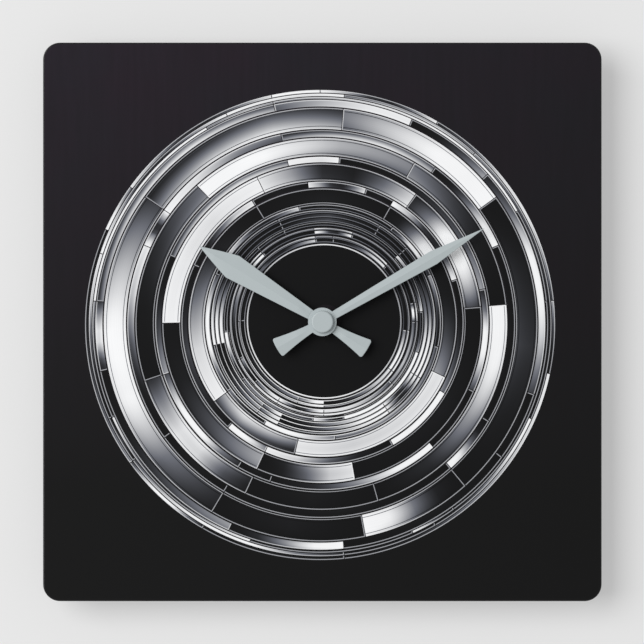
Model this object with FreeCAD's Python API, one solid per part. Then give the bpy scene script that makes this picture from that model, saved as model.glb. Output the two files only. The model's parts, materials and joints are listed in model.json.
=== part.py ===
"""A square two-hand quartz wall clock, in millimetres.

The origin is on the hand axis, in the plane that rests on the wall. +Y points into the wall,
+Z up, and the dial faces -Y with +X to the right. A depth is a distance from the wall plane
towards the viewer, so depth d is y = -d. Each sub-part is written to parts/NODE.step.
"""

import FreeCAD, Part
import math
import os
from FreeCAD import Vector

# ---- panel ----
PANEL_SIZE = 273.0
PANEL_THICKNESS = 3.2
PANEL_CORNER_RADIUS = 8.3
PANEL_EDGE_ROUND = 0.5
PANEL_HOLE_CLEARANCE = 0.25
FILM_THICKNESS = 0.15
FILM_INSET = 0.7

# ---- hands ----
HAND_SHEET = 0.5
TAIL_CORNER_RADIUS = 1.0
SHOULDER_RADIUS = 3.0
MINUTE_HAND_LENGTH = 91.6
MINUTE_SHOULDER = 63.0
MINUTE_HALF_WIDTH = 3.5
HOUR_HAND_LENGTH = 70.4
HOUR_SHOULDER = 51.0
HOUR_HALF_WIDTH = 6.3
BLADE_ROOT_HALF_WIDTH = 1.6
TAIL_LENGTH = 25.7
TAIL_HALF_WIDTH = 5.0
TAIL_ROOT_HALF_WIDTH = 1.9
TAIL_WAIST_HALF_WIDTH = 2.9
MINUTE_HUB_RADIUS = 6.95
HOUR_HUB_RADIUS = 6.3
MINUTE_HAND_ANGLE = 60.0
HOUR_HAND_ANGLE = -58.4
CAP_RADIUS = 5.4
CAP_THICKNESS = 2.7
CAP_ROUND = 0.8
CAP_CEILING = 0.8
COLLET_WALL = 0.7
COLLET_SHOULDER = 0.6

# ---- fastening stack on the threaded bushing ----
BUSHING_RADIUS = 3.95
BUSHING_FLANGE_RADIUS = 6.0
BUSHING_FLANGE_THICKNESS = 1.0
BUSHING_PROUD = 0.75
BUSHING_CHAMFER = 0.4
NUT_ACROSS_FLATS = 11.0
NUT_THICKNESS = 2.0
WASHER_RADIUS = 6.1
WASHER_THICKNESS = 0.5
GASKET_RADIUS = 10.0
GASKET_THICKNESS = 1.0

# ---- arbors ----
MINUTE_ARBOR_RADIUS = 1.6
MINUTE_FLAT_HALF_WIDTH = 1.25
MINUTE_THREAD_RADIUS = 1.2
HOUR_TUBE_WALL = 0.9
HOUR_TUBE_PROUD = 0.2
PIVOT_RADIUS = 0.5
ARBOR_RADIUS = 0.8
ROTOR_PIVOT_RADIUS = 0.35
KNOB_SHAFT_RADIUS = 1.5
PIVOT_LENGTH = 0.8
RUN = 0.05
PAST = 1.0  # how far a cutter runs past the face that it cuts
HAND_GAP = 1.3

# ---- gear train: teeth and modules ----
PRESSURE_ANGLE = math.radians(25.0)
ADDENDUM = 0.70
DEDENDUM = 0.95
BACKLASH = 0.16
FLANK_POINTS = 3
CANNON_TEETH, MOTION_TEETH, MOTION_MODULE = 12, 36, 0.50
MOTION_PINION_TEETH, HOUR_TEETH = 10, 40
KNOB_TEETH = 12
CENTRE_TEETH, MIDDLE_PINION_TEETH, CENTRE_MODULE = 64, 8, 0.32
MIDDLE_TEETH, ROTOR_TEETH, ROTOR_MODULE = 60, 8, 0.30
MOTION_DIRECTION = math.radians(30.0)
KNOB_DIRECTION = math.radians(62.0)
MIDDLE_DIRECTION = math.radians(150.0)
ROTOR_DIRECTION = math.radians(75.0)

# ---- thicknesses in the movement ----
GEAR_THICKNESS = 0.9
HUB_WALL = 1.0
WINDOW_COUNT = 4
WINDOW_RIM = 0.7
SMALLEST_WINDOW = 0.5
WHEEL_SIDE_GAP = 0.9
PINION_OVERHANG = 0.2
LAYER_GAP = 0.25
CLUTCH_THICKNESS = 0.35
CLUTCH_RADIUS = 3.2
CLUTCH_INNER_STEP = 0.5
TRAIN_PLATE_THICKNESS = 1.0
PLATE_EDGE = 4.8
PLATE_CORNER_RADIUS = 2.0
PLATE_POST_INSET = 2.6
PLATE_POST_SHIFT = 2.0
PLATE_PIN_PROUD = 0.6
MAGNET_THICKNESS = 2.0
MAGNET_RADIUS = 2.9
MAGNET_AIR_GAP = 0.5
STATOR_THICKNESS = 0.8
STATOR_RIM = 0.6
STATOR_NOTCH_RADIUS = 0.68
STATOR_NOTCH_ANGLES = (-20.0, 160.0)
CORE_WIDTH = 3.0
LUG_MARGIN = 0.5
COIL_RADIUS = 3.1
COIL_LENGTH = 20.0
BOBBIN_WALL = 0.5
BOBBIN_FLANGE = 0.8
BOBBIN_LIP = 0.2
BOARD_THICKNESS = 0.8
BOARD_STAND_OFF = 1.3
BOARD_MARGIN = 0.9
BOARD_STRIP_HEIGHT = 6.0
BOARD_BLOCK_LEFT = 3.0
BOARD_SCREW_INSET = 3.0
BOARD_STRIP_SCREW_INSET = 8.0
CRYSTAL_RADIUS = 1.0
CRYSTAL_LENGTH = 6.0
CRYSTAL_ROUND = 0.3
CRYSTAL_INSET = 3.0
CRYSTAL_DROP = 4.0
CHIP_RADIUS = 2.6
CHIP_HEIGHT = 1.1
CHIP_RISE = 2.0
LEAD_RADIUS = 0.15
LEAD_SPACING = 1.6
LEAD_SPLAY = 0.16
LEAD_PAD_INSET = 1.0

# ---- case and battery ----
CASE_WIDTH = 56.0
CASE_TOP = 28.0
CASE_WALL = 1.2
CASE_BACK = 1.3
CASE_FRONT = 1.4
CASE_CORNER_RADIUS = 3.0
PARTITION = 0.9
BAY_FLOOR = 1.0
POST_RADIUS = 2.0
BOSS_WALL = 0.9
SCREW_RADIUS = 0.9
SCREW_HEAD_RADIUS = 1.7
SCREW_HEAD_THICKNESS = 0.8
SCREW_LENGTH = 3.0
SCREW_END_GAP = 0.5
SCREW_HEAD_ROUND = 0.32
CROSS_HALF_LENGTH = 1.0
CROSS_HALF_WIDTH = 0.2
KNOB_RADIUS = 7.0
KNOB_BACK = 0.4
KNOB_THICKNESS = 2.2
KNOB_RECESS_GAP = 0.8
KNOB_COLLAR_HEIGHT = 2.0
KNOB_RIBS = 36
KNOB_DISH_RADIUS = 4.4
KNOB_DISH_DEPTH = 0.7
KNOB_GRIP_HALF = 0.7
LATCH_WIDTH = 7.0
LATCH_LENGTH = 8.0
LATCH_THICKNESS = 1.0
LATCH_END = 1.2
LATCH_CATCH = 2.0
LATCH_BELOW_AXIS = 2.5
LATCH_ROOT = 1.0
CATCH_ROOT = 0.5
CATCH_PROUD = 0.8
BATTERY_RADIUS = 7.1
BATTERY_LENGTH = 50.5
BATTERY_NUB_RADIUS = 2.6
BATTERY_NUB_LENGTH = 1.4
SLEEVE_THICKNESS = 0.15
SLEEVE_MARGIN = 0.8
CAN_WALL = 0.3
CAN_ROUND = 0.6
BATTERY_SIDE_GAP = 0.15
BATTERY_BACK_GAP = 0.6
CONTACT_THICKNESS = 0.4
CONTACT_GAP = 0.05
CONTACT_WIDTH = 9.0
TONGUE_WIDTH = 3.0
CONTACT_RISE = 4.0
CONTACT_REACH = 2.5
CONTACT_BEND = 1.0
CONTACT_SLOT_GAP = 0.2
SPRING_WIRE_RADIUS = 0.25
SPRING_BASE_RADIUS = 4.0
SPRING_TOP_RADIUS = 2.4
SPRING_TURNS = 3
MARK_DEPTH = 0.3
MARK_ARM = 2.0
MARK_HALF_WIDTH = 0.35
MARK_RISE = 3.5
MARK_INSET = 6.0

# ---- hanger ----
HANGER_THICKNESS = 0.8
HANGER_WIDTH = 18.0
HANGER_STRAP_WIDTH = 14.0
HANGER_TAB_HEIGHT = 17.0
HANGER_WALL_GAP = 2.2
HANGER_CASE_GAP = 0.4
KEYHOLE_RADIUS = 3.6
KEYHOLE_SLOT_HALF_WIDTH = 1.6
KEYHOLE_SLOT_LENGTH = 6.0
KEYHOLE_MARGIN = 1.2


# ---- small builders: a depth range is given as (back, front) ----
def disc(radius, back, front, centre=(0.0, 0.0)):
    """A round bar along Y between two depths."""
    start = Vector(centre[0], -front, centre[1])
    return Part.makeCylinder(radius, front - back, start, Vector(0, 1, 0))


def ring(outer, inner, back, front, centre=(0.0, 0.0)):
    return disc(outer, back, front, centre).cut(disc(inner, back - PAST, front + PAST, centre))


def block(left, right, bottom, top, back, front):
    """A box between two x, two z and two depths."""
    corner = Vector(left, -front, bottom)
    return Part.makeBox(right - left, front - back, top - bottom, corner)


def slab(wire, back, front):
    """Extrudes a closed wire that lies in the plane y = 0."""
    face = Part.Face(wire)
    face.translate(Vector(0, -front, 0))
    return face.extrude(Vector(0, front - back, 0))


def fuse(first, *others):
    return first.fuse(list(others)).removeSplitter() if others else first


def edges_along_y(solid, picked):
    """The straight edges along Y whose (x, z) satisfies picked."""
    found = []
    for edge in solid.Edges:
        ends = [vertex.Point for vertex in edge.Vertexes]
        if len(ends) != 2 or type(edge.Curve).__name__ != "Line":
            continue
        along = ends[1] - ends[0]
        if abs(along.x) + abs(along.z) < 1e-6 and picked(ends[0].x, ends[0].z):
            found.append(edge)
    return found


def rounded_block(left, right, bottom, top, back, front, radius):
    box = block(left, right, bottom, top, back, front)
    return box.makeFillet(radius, edges_along_y(box, lambda x, z: True))


def polar(centre, distance, angle):
    return (centre[0] + distance * math.cos(angle), centre[1] + distance * math.sin(angle))


# ---- gears ----
def involute(angle):
    return math.tan(angle) - angle


def gear_profile(teeth, module):
    """Half of one tooth as (radius, half angle), from the root to the tip."""
    pitch = module * teeth / 2
    base = pitch * math.cos(PRESSURE_ANGLE)
    root = pitch - DEDENDUM * module
    tip = pitch + ADDENDUM * module
    at_pitch = (math.pi / 2 - BACKLASH) / teeth

    def half_angle(radius):
        if radius <= base:
            return at_pitch + involute(PRESSURE_ANGLE)
        return at_pitch + involute(PRESSURE_ANGLE) - involute(math.acos(base / radius))

    low = max(base, root)
    steps = [low + (tip - low) * step / (FLANK_POINTS - 1) for step in range(FLANK_POINTS)]
    radii = ([root] if root < base else []) + steps
    return [(radius, half_angle(radius)) for radius in radii]


def gear(teeth, module, centre, phase, back, front):
    """A spur gear whose first tooth points along the angle phase."""
    flank = gear_profile(teeth, module)
    points = []
    for tooth in range(teeth):
        middle = phase + 2 * math.pi * tooth / teeth
        for radius, half in flank:
            points.append(polar(centre, radius, middle - half))
        for radius, half in reversed(flank):
            points.append(polar(centre, radius, middle + half))
    corners = [Vector(x, 0, z) for x, z in points + points[:1]]
    return slab(Part.makePolygon(corners), back, front)


def meshed_phase(teeth, phase, direction, other_teeth):
    """The phase of a gear that lies in that direction from a gear whose phase is known."""
    facing = direction + math.pi
    return facing + math.pi / other_teeth - (phase - direction) * teeth / other_teeth


def tip_radius(teeth, module):
    return module * (teeth / 2 + ADDENDUM)


def centre_distance(teeth, other_teeth, module):
    return module * (teeth + other_teeth) / 2


# ---- where the arbors stand ----
AXIS = (0.0, 0.0)
MOTION_DISTANCE = centre_distance(CANNON_TEETH, MOTION_TEETH, MOTION_MODULE)
HOUR_MODULE = 2 * MOTION_DISTANCE / (MOTION_PINION_TEETH + HOUR_TEETH)
MOTION_CENTRE = polar(AXIS, MOTION_DISTANCE, MOTION_DIRECTION)
KNOB_CENTRE = polar(
    MOTION_CENTRE, centre_distance(MOTION_TEETH, KNOB_TEETH, MOTION_MODULE), KNOB_DIRECTION
)
MIDDLE_CENTRE = polar(
    AXIS, centre_distance(CENTRE_TEETH, MIDDLE_PINION_TEETH, CENTRE_MODULE), MIDDLE_DIRECTION
)
ROTOR_CENTRE = polar(
    MIDDLE_CENTRE, centre_distance(MIDDLE_TEETH, ROTOR_TEETH, ROTOR_MODULE), ROTOR_DIRECTION
)

# ---- tooth phases, so that every pair is in mesh at rest ----
MOTION_PHASE = meshed_phase(CANNON_TEETH, 0.0, MOTION_DIRECTION, MOTION_TEETH)
KNOB_PHASE = meshed_phase(MOTION_TEETH, MOTION_PHASE, KNOB_DIRECTION, KNOB_TEETH)
HOUR_PHASE = meshed_phase(MOTION_PINION_TEETH, 0.0, MOTION_DIRECTION + math.pi, HOUR_TEETH)
MIDDLE_PINION_PHASE = meshed_phase(CENTRE_TEETH, 0.0, MIDDLE_DIRECTION, MIDDLE_PINION_TEETH)
ROTOR_PHASE = meshed_phase(MIDDLE_TEETH, 0.0, ROTOR_DIRECTION, ROTOR_TEETH)

# ---- case outline ----
CENTRE_WHEEL_TIP = tip_radius(CENTRE_TEETH, CENTRE_MODULE)
LARGEST_CENTRAL_WHEEL = max(CENTRE_WHEEL_TIP, tip_radius(HOUR_TEETH, HOUR_MODULE))
PARTITION_TOP = -(LARGEST_CENTRAL_WHEEL + WHEEL_SIDE_GAP)
BAY_TOP = PARTITION_TOP - PARTITION
BAY_BOTTOM = BAY_TOP - 2 * (BATTERY_RADIUS + BATTERY_SIDE_GAP)
CASE_BOTTOM = BAY_BOTTOM - CASE_WALL
CASE_HALF = CASE_WIDTH / 2
INNER_HALF = CASE_HALF - CASE_WALL
COIL_OUTER = COIL_RADIUS + BOBBIN_LIP
INNER_TOP = CASE_TOP - CASE_WALL

KEYHOLE_CENTRE = (
    0.0, CASE_TOP + HANGER_CASE_GAP + HANGER_THICKNESS + KEYHOLE_RADIUS + KEYHOLE_MARGIN
)

# ---- movement layers, counted back from the front cover's inner face ----
LAYERS_TO_COIL_BACK = (
    BUSHING_FLANGE_THICKNESS + 4 * GEAR_THICKNESS + 7 * LAYER_GAP + PINION_OVERHANG
    + CLUTCH_THICKNESS + TRAIN_PLATE_THICKNESS + MAGNET_THICKNESS / 2 + STATOR_THICKNESS
    + COIL_OUTER
)
CASE_DEPTH = max(
    BAY_FLOOR + BATTERY_SIDE_GAP + 2 * BATTERY_RADIUS + BATTERY_BACK_GAP,
    CASE_FRONT + LAYERS_TO_COIL_BACK + CASE_BACK + LAYER_GAP,
)
COVER_INNER = CASE_DEPTH - CASE_FRONT
HOUR_FRONT = COVER_INNER - BUSHING_FLANGE_THICKNESS - LAYER_GAP
HOUR_BACK = HOUR_FRONT - GEAR_THICKNESS
MOTION_FRONT = HOUR_BACK - LAYER_GAP
MOTION_BACK = MOTION_FRONT - GEAR_THICKNESS - PINION_OVERHANG
CENTRE_FRONT = MOTION_BACK - CLUTCH_THICKNESS
CENTRE_BACK = CENTRE_FRONT - GEAR_THICKNESS
PLATE_FRONT = CENTRE_BACK - 2 * LAYER_GAP
PLATE_BACK = PLATE_FRONT - TRAIN_PLATE_THICKNESS
MIDDLE_FRONT = PLATE_BACK - LAYER_GAP
MIDDLE_BACK = MIDDLE_FRONT - GEAR_THICKNESS
MAGNET_FRONT = MIDDLE_BACK - 2 * LAYER_GAP
MAGNET_BACK = MAGNET_FRONT - MAGNET_THICKNESS
STATOR_FRONT = MAGNET_FRONT - (MAGNET_THICKNESS - STATOR_THICKNESS) / 2
STATOR_BACK = STATOR_FRONT - STATOR_THICKNESS
CORE_BACK = STATOR_BACK - STATOR_THICKNESS
COIL_DEPTH = (STATOR_BACK + CORE_BACK) / 2
BOBBIN_RADIUS = math.hypot(CORE_WIDTH / 2 + RUN, STATOR_THICKNESS / 2 + RUN) + BOBBIN_WALL
BOARD_BACK = CASE_BACK + BOARD_STAND_OFF
BOARD_FRONT = BOARD_BACK + BOARD_THICKNESS

LATCH_PLACES = (-LATCH_BELOW_AXIS, CASE_TOP - LATCH_WIDTH)

# ---- layers in front of the case ----
HANGER_FRONT = CASE_DEPTH + HANGER_THICKNESS
PANEL_BACK = HANGER_FRONT + GASKET_THICKNESS
PANEL_FRONT = PANEL_BACK + PANEL_THICKNESS
FILM_FRONT = PANEL_FRONT + FILM_THICKNESS
WASHER_FRONT = FILM_FRONT + WASHER_THICKNESS
NUT_FRONT = WASHER_FRONT + NUT_THICKNESS
BUSHING_FRONT = NUT_FRONT + BUSHING_PROUD
HOUR_HAND_BACK = BUSHING_FRONT + HAND_GAP
HOUR_HAND_FRONT = HOUR_HAND_BACK + HAND_SHEET
HOUR_TUBE_FRONT = HOUR_HAND_FRONT + HOUR_TUBE_PROUD
MINUTE_HAND_BACK = HOUR_HAND_FRONT + HAND_GAP
MINUTE_HAND_FRONT = MINUTE_HAND_BACK + HAND_SHEET
CAP_FRONT = MINUTE_HAND_FRONT + CAP_THICKNESS
HOUR_TUBE_INNER = MINUTE_ARBOR_RADIUS + RUN
HOUR_TUBE_OUTER = HOUR_TUBE_INNER + HOUR_TUBE_WALL

# ---- coil, stator and train plate places ----
COIL_Z = INNER_TOP - LAYER_GAP - COIL_OUTER
COIL_LEFT = ROTOR_CENTRE[0] - COIL_LENGTH / 2
COIL_RIGHT = COIL_LEFT + COIL_LENGTH
LUG_WIDTH = 2 * (SCREW_HEAD_RADIUS + LUG_MARGIN)
STATOR_LEFT = COIL_LEFT - LAYER_GAP - LUG_WIDTH
STATOR_RIGHT = COIL_RIGHT + LAYER_GAP + LUG_WIDTH
STATOR_BORE = MAGNET_RADIUS + MAGNET_AIR_GAP
STATOR_BOTTOM = ROTOR_CENTRE[1] - STATOR_BORE - STATOR_RIM
STATOR_TOP = COIL_Z - COIL_OUTER - LAYER_GAP
LUG_TOP = COIL_Z + LUG_WIDTH / 2
LUG_SCREWS = [
    (STATOR_LEFT + LUG_WIDTH / 2, COIL_Z),
    (STATOR_RIGHT - LUG_WIDTH / 2, COIL_Z),
]
PLATE_LEFT = -(INNER_HALF - PLATE_EDGE)
PLATE_RIGHT = INNER_HALF - PLATE_EDGE
PLATE_BOTTOM = PARTITION_TOP + LAYER_GAP
PLATE_TOP = STATOR_TOP - LAYER_GAP
PLATE_POSTS = [
    (PLATE_LEFT + PLATE_POST_INSET, PLATE_BOTTOM + PLATE_POST_INSET),
    (PLATE_RIGHT - PLATE_POST_INSET, PLATE_BOTTOM + PLATE_POST_INSET),
    (PLATE_LEFT + PLATE_POST_INSET, PLATE_TOP - PLATE_POST_INSET),
    ((AXIS[0] + KNOB_CENTRE[0]) / 2 - PLATE_POST_SHIFT, PLATE_TOP - PLATE_POST_INSET),
]

# ---- knob recess, board, battery ----
KNOB_FRONT = KNOB_BACK + KNOB_THICKNESS
RECESS_RADIUS = KNOB_RADIUS + KNOB_RECESS_GAP
RECESS_FLOOR_BACK = KNOB_FRONT + LAYER_GAP
RECESS_FLOOR_FRONT = RECESS_FLOOR_BACK + BAY_FLOOR
BOARD_BOTTOM = PARTITION_TOP + LAYER_GAP
BOARD_STRIP_TOP = BOARD_BOTTOM + BOARD_STRIP_HEIGHT
BOARD_TOP = KNOB_CENTRE[1] - RECESS_RADIUS - CASE_WALL - LAYER_GAP
BOARD_LEFT = -(INNER_HALF - BOARD_MARGIN)
BOARD_RIGHT = INNER_HALF - BOARD_MARGIN
BOARD_SCREWS = [
    (BOARD_LEFT + BOARD_STRIP_SCREW_INSET, (BOARD_BOTTOM + BOARD_STRIP_TOP) / 2),
    (BOARD_RIGHT - BOARD_SCREW_INSET, BOARD_TOP - BOARD_SCREW_INSET),
]
BATTERY_Z = (BAY_TOP + BAY_BOTTOM) / 2
BATTERY_DEPTH = CASE_DEPTH - BAY_FLOOR - BATTERY_SIDE_GAP - BATTERY_RADIUS
NUB_TIP = INNER_HALF - CONTACT_THICKNESS - 2 * CONTACT_GAP
BATTERY_END = NUB_TIP - BATTERY_LENGTH
CONTACT_INNER = INNER_HALF - CONTACT_THICKNESS - CONTACT_GAP
CONTACT_TOP = PARTITION_TOP + CONTACT_RISE
CAN_SHOULDER = NUB_TIP - BATTERY_NUB_LENGTH


# ---- panel and its fastening ----
def face_panel():
    half = PANEL_SIZE / 2
    box = rounded_block(-half, half, -half, half, PANEL_BACK, PANEL_FRONT, PANEL_CORNER_RADIUS)
    rims = [e for e in box.Edges if edge_at(e, PANEL_FRONT) or edge_at(e, PANEL_BACK)]
    panel = box.makeFillet(PANEL_EDGE_ROUND, rims)
    hole = BUSHING_RADIUS + PANEL_HOLE_CLEARANCE
    return panel.cut(disc(hole, PANEL_BACK - PAST, PANEL_FRONT + PAST))


def printed_film():
    half = PANEL_SIZE / 2 - FILM_INSET
    radius = PANEL_CORNER_RADIUS - FILM_INSET
    film = rounded_block(-half, half, -half, half, PANEL_FRONT, FILM_FRONT, radius)
    hole = BUSHING_RADIUS + PANEL_HOLE_CLEARANCE
    return film.cut(disc(hole, PANEL_FRONT - PAST, FILM_FRONT + PAST))


def rubber_gasket():
    return ring(GASKET_RADIUS, BUSHING_RADIUS + RUN, HANGER_FRONT, PANEL_BACK)


def front_washer():
    return ring(WASHER_RADIUS, BUSHING_RADIUS + RUN, FILM_FRONT, WASHER_FRONT)


def hex_nut():
    across_corners = NUT_ACROSS_FLATS / math.cos(math.pi / 6)
    corners = [polar(AXIS, across_corners / 2, math.pi / 3 * k) for k in range(7)]
    nut = slab(Part.makePolygon([Vector(x, 0, z) for x, z in corners]), WASHER_FRONT, NUT_FRONT)
    cone = Part.makeCone(
        NUT_ACROSS_FLATS / 2 + 2 * NUT_THICKNESS, NUT_ACROSS_FLATS / 2, 2 * NUT_THICKNESS,
        Vector(0, -NUT_FRONT + 2 * NUT_THICKNESS, 0), Vector(0, -1, 0),
    )
    return nut.common(cone).cut(disc(BUSHING_RADIUS, WASHER_FRONT - PAST, NUT_FRONT + PAST))


def threaded_bushing():
    barrel = disc(BUSHING_RADIUS, COVER_INNER, BUSHING_FRONT)
    rim = [e for e in barrel.Edges if edge_at(e, BUSHING_FRONT)]
    barrel = barrel.makeChamfer(BUSHING_CHAMFER, rim)
    flange = disc(BUSHING_FLANGE_RADIUS, COVER_INNER - BUSHING_FLANGE_THICKNESS, COVER_INNER)
    bore = disc(HOUR_TUBE_OUTER + RUN, 0, BUSHING_FRONT + PAST)
    return fuse(barrel, flange).cut(bore)


def edge_at(edge, depth):
    """Is this round edge wholly in the plane at that depth?"""
    box = edge.BoundBox
    return abs(box.YMin + depth) < 1e-5 and abs(box.YMax + depth) < 1e-5


def hanger_plate():
    """A cranked steel strap: clamped behind the panel, over the case, then up beside the wall."""
    half = HANGER_WIDTH / 2
    strap_half = HANGER_STRAP_WIDTH / 2
    leg_bottom = CASE_TOP + HANGER_CASE_GAP
    leg_top = leg_bottom + HANGER_THICKNESS
    tab_front = HANGER_WALL_GAP + HANGER_THICKNESS
    foot = disc(half, CASE_DEPTH, HANGER_FRONT)
    strap = block(-strap_half, strap_half, 0, leg_top, CASE_DEPTH, HANGER_FRONT)
    leg = block(-strap_half, strap_half, leg_bottom, leg_top, HANGER_WALL_GAP, HANGER_FRONT)
    tab = block(-half, half, leg_bottom, leg_bottom + HANGER_TAB_HEIGHT, HANGER_WALL_GAP, tab_front)
    tab = tab.makeFillet(
        HANGER_WIDTH / 4, edges_along_y(tab, lambda x, z: z > leg_top)
    )
    keyhole = disc(KEYHOLE_RADIUS, 0, tab_front + PAST, KEYHOLE_CENTRE)
    slot_top = KEYHOLE_CENTRE[1] + KEYHOLE_SLOT_LENGTH
    slot = block(
        -KEYHOLE_SLOT_HALF_WIDTH, KEYHOLE_SLOT_HALF_WIDTH, KEYHOLE_CENTRE[1], slot_top,
        0, tab_front + PAST,
    )
    slot_end = disc(KEYHOLE_SLOT_HALF_WIDTH, 0, tab_front + PAST, (0.0, slot_top))
    plate = fuse(foot, strap, leg, tab)
    bushing_hole = disc(BUSHING_RADIUS + RUN, CASE_DEPTH - PAST, HANGER_FRONT + PAST)
    return plate.cut([bushing_hole, keyhole, slot, slot_end])


# ---- hands ----
def along(angle, reach, side):
    """A point of a hand that points to a clock angle, clockwise from +Z."""
    turn = math.radians(angle)
    x = reach * math.sin(turn) + side * math.cos(turn)
    z = reach * math.cos(turn) - side * math.sin(turn)
    return Vector(x, 0, z)


def hand_sheet(angle, length, shoulder, half_width, hub_radius, back):
    """A lance-shaped blade, a flared tail and a round hub, cut from one sheet."""
    front = back + HAND_SHEET
    outline = [
        (0, -BLADE_ROOT_HALF_WIDTH), (shoulder, -half_width), (length, 0),
        (shoulder, half_width), (0, BLADE_ROOT_HALF_WIDTH), (0, -BLADE_ROOT_HALF_WIDTH),
    ]
    blade = slab(Part.makePolygon([along(angle, u, v) for u, v in outline]), back, front)
    corners = [along(angle, shoulder, side * half_width) for side in (-1, 1)]
    blade = round_corners(blade, corners, SHOULDER_RADIUS)
    end = math.sqrt(TAIL_LENGTH ** 2 - TAIL_HALF_WIDTH ** 2)
    waist = end / 2
    root = (0, TAIL_ROOT_HALF_WIDTH)

    def point(u, v):
        return along(angle, -u, v)

    edges = [
        Part.LineSegment(point(0, -root[1]), point(0, root[1])),
        Part.Arc(point(*root), point(waist, TAIL_WAIST_HALF_WIDTH), point(end, TAIL_HALF_WIDTH)),
        Part.Arc(point(end, TAIL_HALF_WIDTH), point(TAIL_LENGTH, 0), point(end, -TAIL_HALF_WIDTH)),
        Part.Arc(
            point(end, -TAIL_HALF_WIDTH), point(waist, -TAIL_WAIST_HALF_WIDTH), point(0, -root[1])
        ),
    ]
    tail = slab(Part.Wire([edge.toShape() for edge in edges]), back, front)
    ends = [along(angle, -end, side * TAIL_HALF_WIDTH) for side in (-1, 1)]
    tail = round_corners(tail, ends, TAIL_CORNER_RADIUS)
    return fuse(blade, tail, disc(hub_radius, back, front))


def round_corners(solid, corners, radius):
    def near(x, z):
        return any(math.hypot(x - c.x, z - c.z) < 1e-3 for c in corners)

    return solid.makeFillet(radius, edges_along_y(solid, near))


def minute_flats(back, front, gap):
    """The minute arbor's flattened end, grown by gap for the hole that fits it."""
    half = MINUTE_FLAT_HALF_WIDTH + gap
    bar = disc(MINUTE_ARBOR_RADIUS + gap, back, front)
    return bar.common(block(-half, half, -half * 2, half * 2, back, front))


def minute_hand():
    sheet = hand_sheet(
        MINUTE_HAND_ANGLE, MINUTE_HAND_LENGTH, MINUTE_SHOULDER, MINUTE_HALF_WIDTH,
        MINUTE_HUB_RADIUS, MINUTE_HAND_BACK,
    )
    return sheet.cut(minute_flats(MINUTE_HAND_BACK - PAST, MINUTE_HAND_FRONT + PAST, RUN / 2))


def hour_hand():
    sheet = hand_sheet(
        HOUR_HAND_ANGLE, HOUR_HAND_LENGTH, HOUR_SHOULDER, HOUR_HALF_WIDTH,
        HOUR_HUB_RADIUS, HOUR_HAND_BACK,
    )
    return sheet.cut(disc(HOUR_TUBE_OUTER + COLLET_WALL, 0, CAP_FRONT))


def hour_hand_collet():
    """The split-free bush that is pressed into the hour hand and grips the hour tube."""
    back = BUSHING_FRONT + LAYER_GAP
    outer = HOUR_TUBE_OUTER + COLLET_WALL
    collar = disc(outer + COLLET_SHOULDER, back, HOUR_HAND_BACK)
    return fuse(disc(outer, back, HOUR_HAND_FRONT), collar).cut(disc(HOUR_TUBE_OUTER, 0, CAP_FRONT))


def hand_cap():
    cap = disc(CAP_RADIUS, MINUTE_HAND_FRONT, CAP_FRONT)
    cap = cap.makeFillet(CAP_ROUND, [e for e in cap.Edges if edge_at(e, CAP_FRONT)])
    thread = disc(MINUTE_THREAD_RADIUS, MINUTE_HAND_FRONT - PAST, CAP_FRONT - CAP_CEILING)
    return cap.cut(thread)


# ---- wheels ----
def minute_arbor():
    """Rear pivot, cannon pinion, plain arbor, flats for the hand and a threaded tip."""
    pivot = disc(PIVOT_RADIUS, PLATE_BACK, PLATE_FRONT)
    body = disc(MINUTE_ARBOR_RADIUS, PLATE_FRONT + RUN, MINUTE_HAND_BACK)
    pivot = fuse(pivot, disc(PIVOT_RADIUS, PLATE_FRONT, PLATE_FRONT + RUN))
    pinion = gear(CANNON_TEETH, MOTION_MODULE, AXIS, 0.0, MOTION_BACK, MOTION_FRONT)
    flats = minute_flats(MINUTE_HAND_BACK, MINUTE_HAND_FRONT, 0.0)
    tip = disc(MINUTE_THREAD_RADIUS, MINUTE_HAND_FRONT, CAP_FRONT - CAP_CEILING)
    return fuse(body, pivot, pinion, flats, tip)


def lightened_wheel(teeth, module, centre, phase, back, front, hub):
    """A wheel with four round windows between its hub and rim, where there is room for them."""
    wheel = gear(teeth, module, centre, phase, back, front)
    root = module * (teeth / 2 - DEDENDUM)
    room = (root - hub) / 2 - WINDOW_RIM
    if room <= SMALLEST_WINDOW:
        return wheel
    middle = (root + hub) / 2
    turns = [2 * math.pi * (k + 0.5) / WINDOW_COUNT for k in range(WINDOW_COUNT)]
    windows = [disc(room, back - PAST, front + PAST, polar(centre, middle, turn)) for turn in turns]
    return wheel.cut(windows)


def centre_wheel():
    wheel = lightened_wheel(
        CENTRE_TEETH, CENTRE_MODULE, AXIS, 0.0, CENTRE_BACK, CENTRE_FRONT, CLUTCH_RADIUS
    )
    return wheel.cut(disc(MINUTE_ARBOR_RADIUS, CENTRE_BACK - PAST, CENTRE_FRONT + PAST))


def clutch_spring():
    """A sprung washer that presses the centre wheel on its arbor, so that the hands can be set."""
    sheet = CLUTCH_THICKNESS / 2
    outer = Part.makeCone(
        MINUTE_ARBOR_RADIUS + CLUTCH_INNER_STEP, CLUTCH_RADIUS, CLUTCH_THICKNESS - sheet,
        Vector(0, -CENTRE_FRONT - CLUTCH_THICKNESS + sheet, 0), Vector(0, 1, 0),
    )
    rim = disc(MINUTE_ARBOR_RADIUS + CLUTCH_INNER_STEP, MOTION_BACK - sheet, MOTION_BACK)
    return fuse(outer, rim).cut(disc(MINUTE_ARBOR_RADIUS, CENTRE_BACK, MOTION_FRONT))


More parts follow.
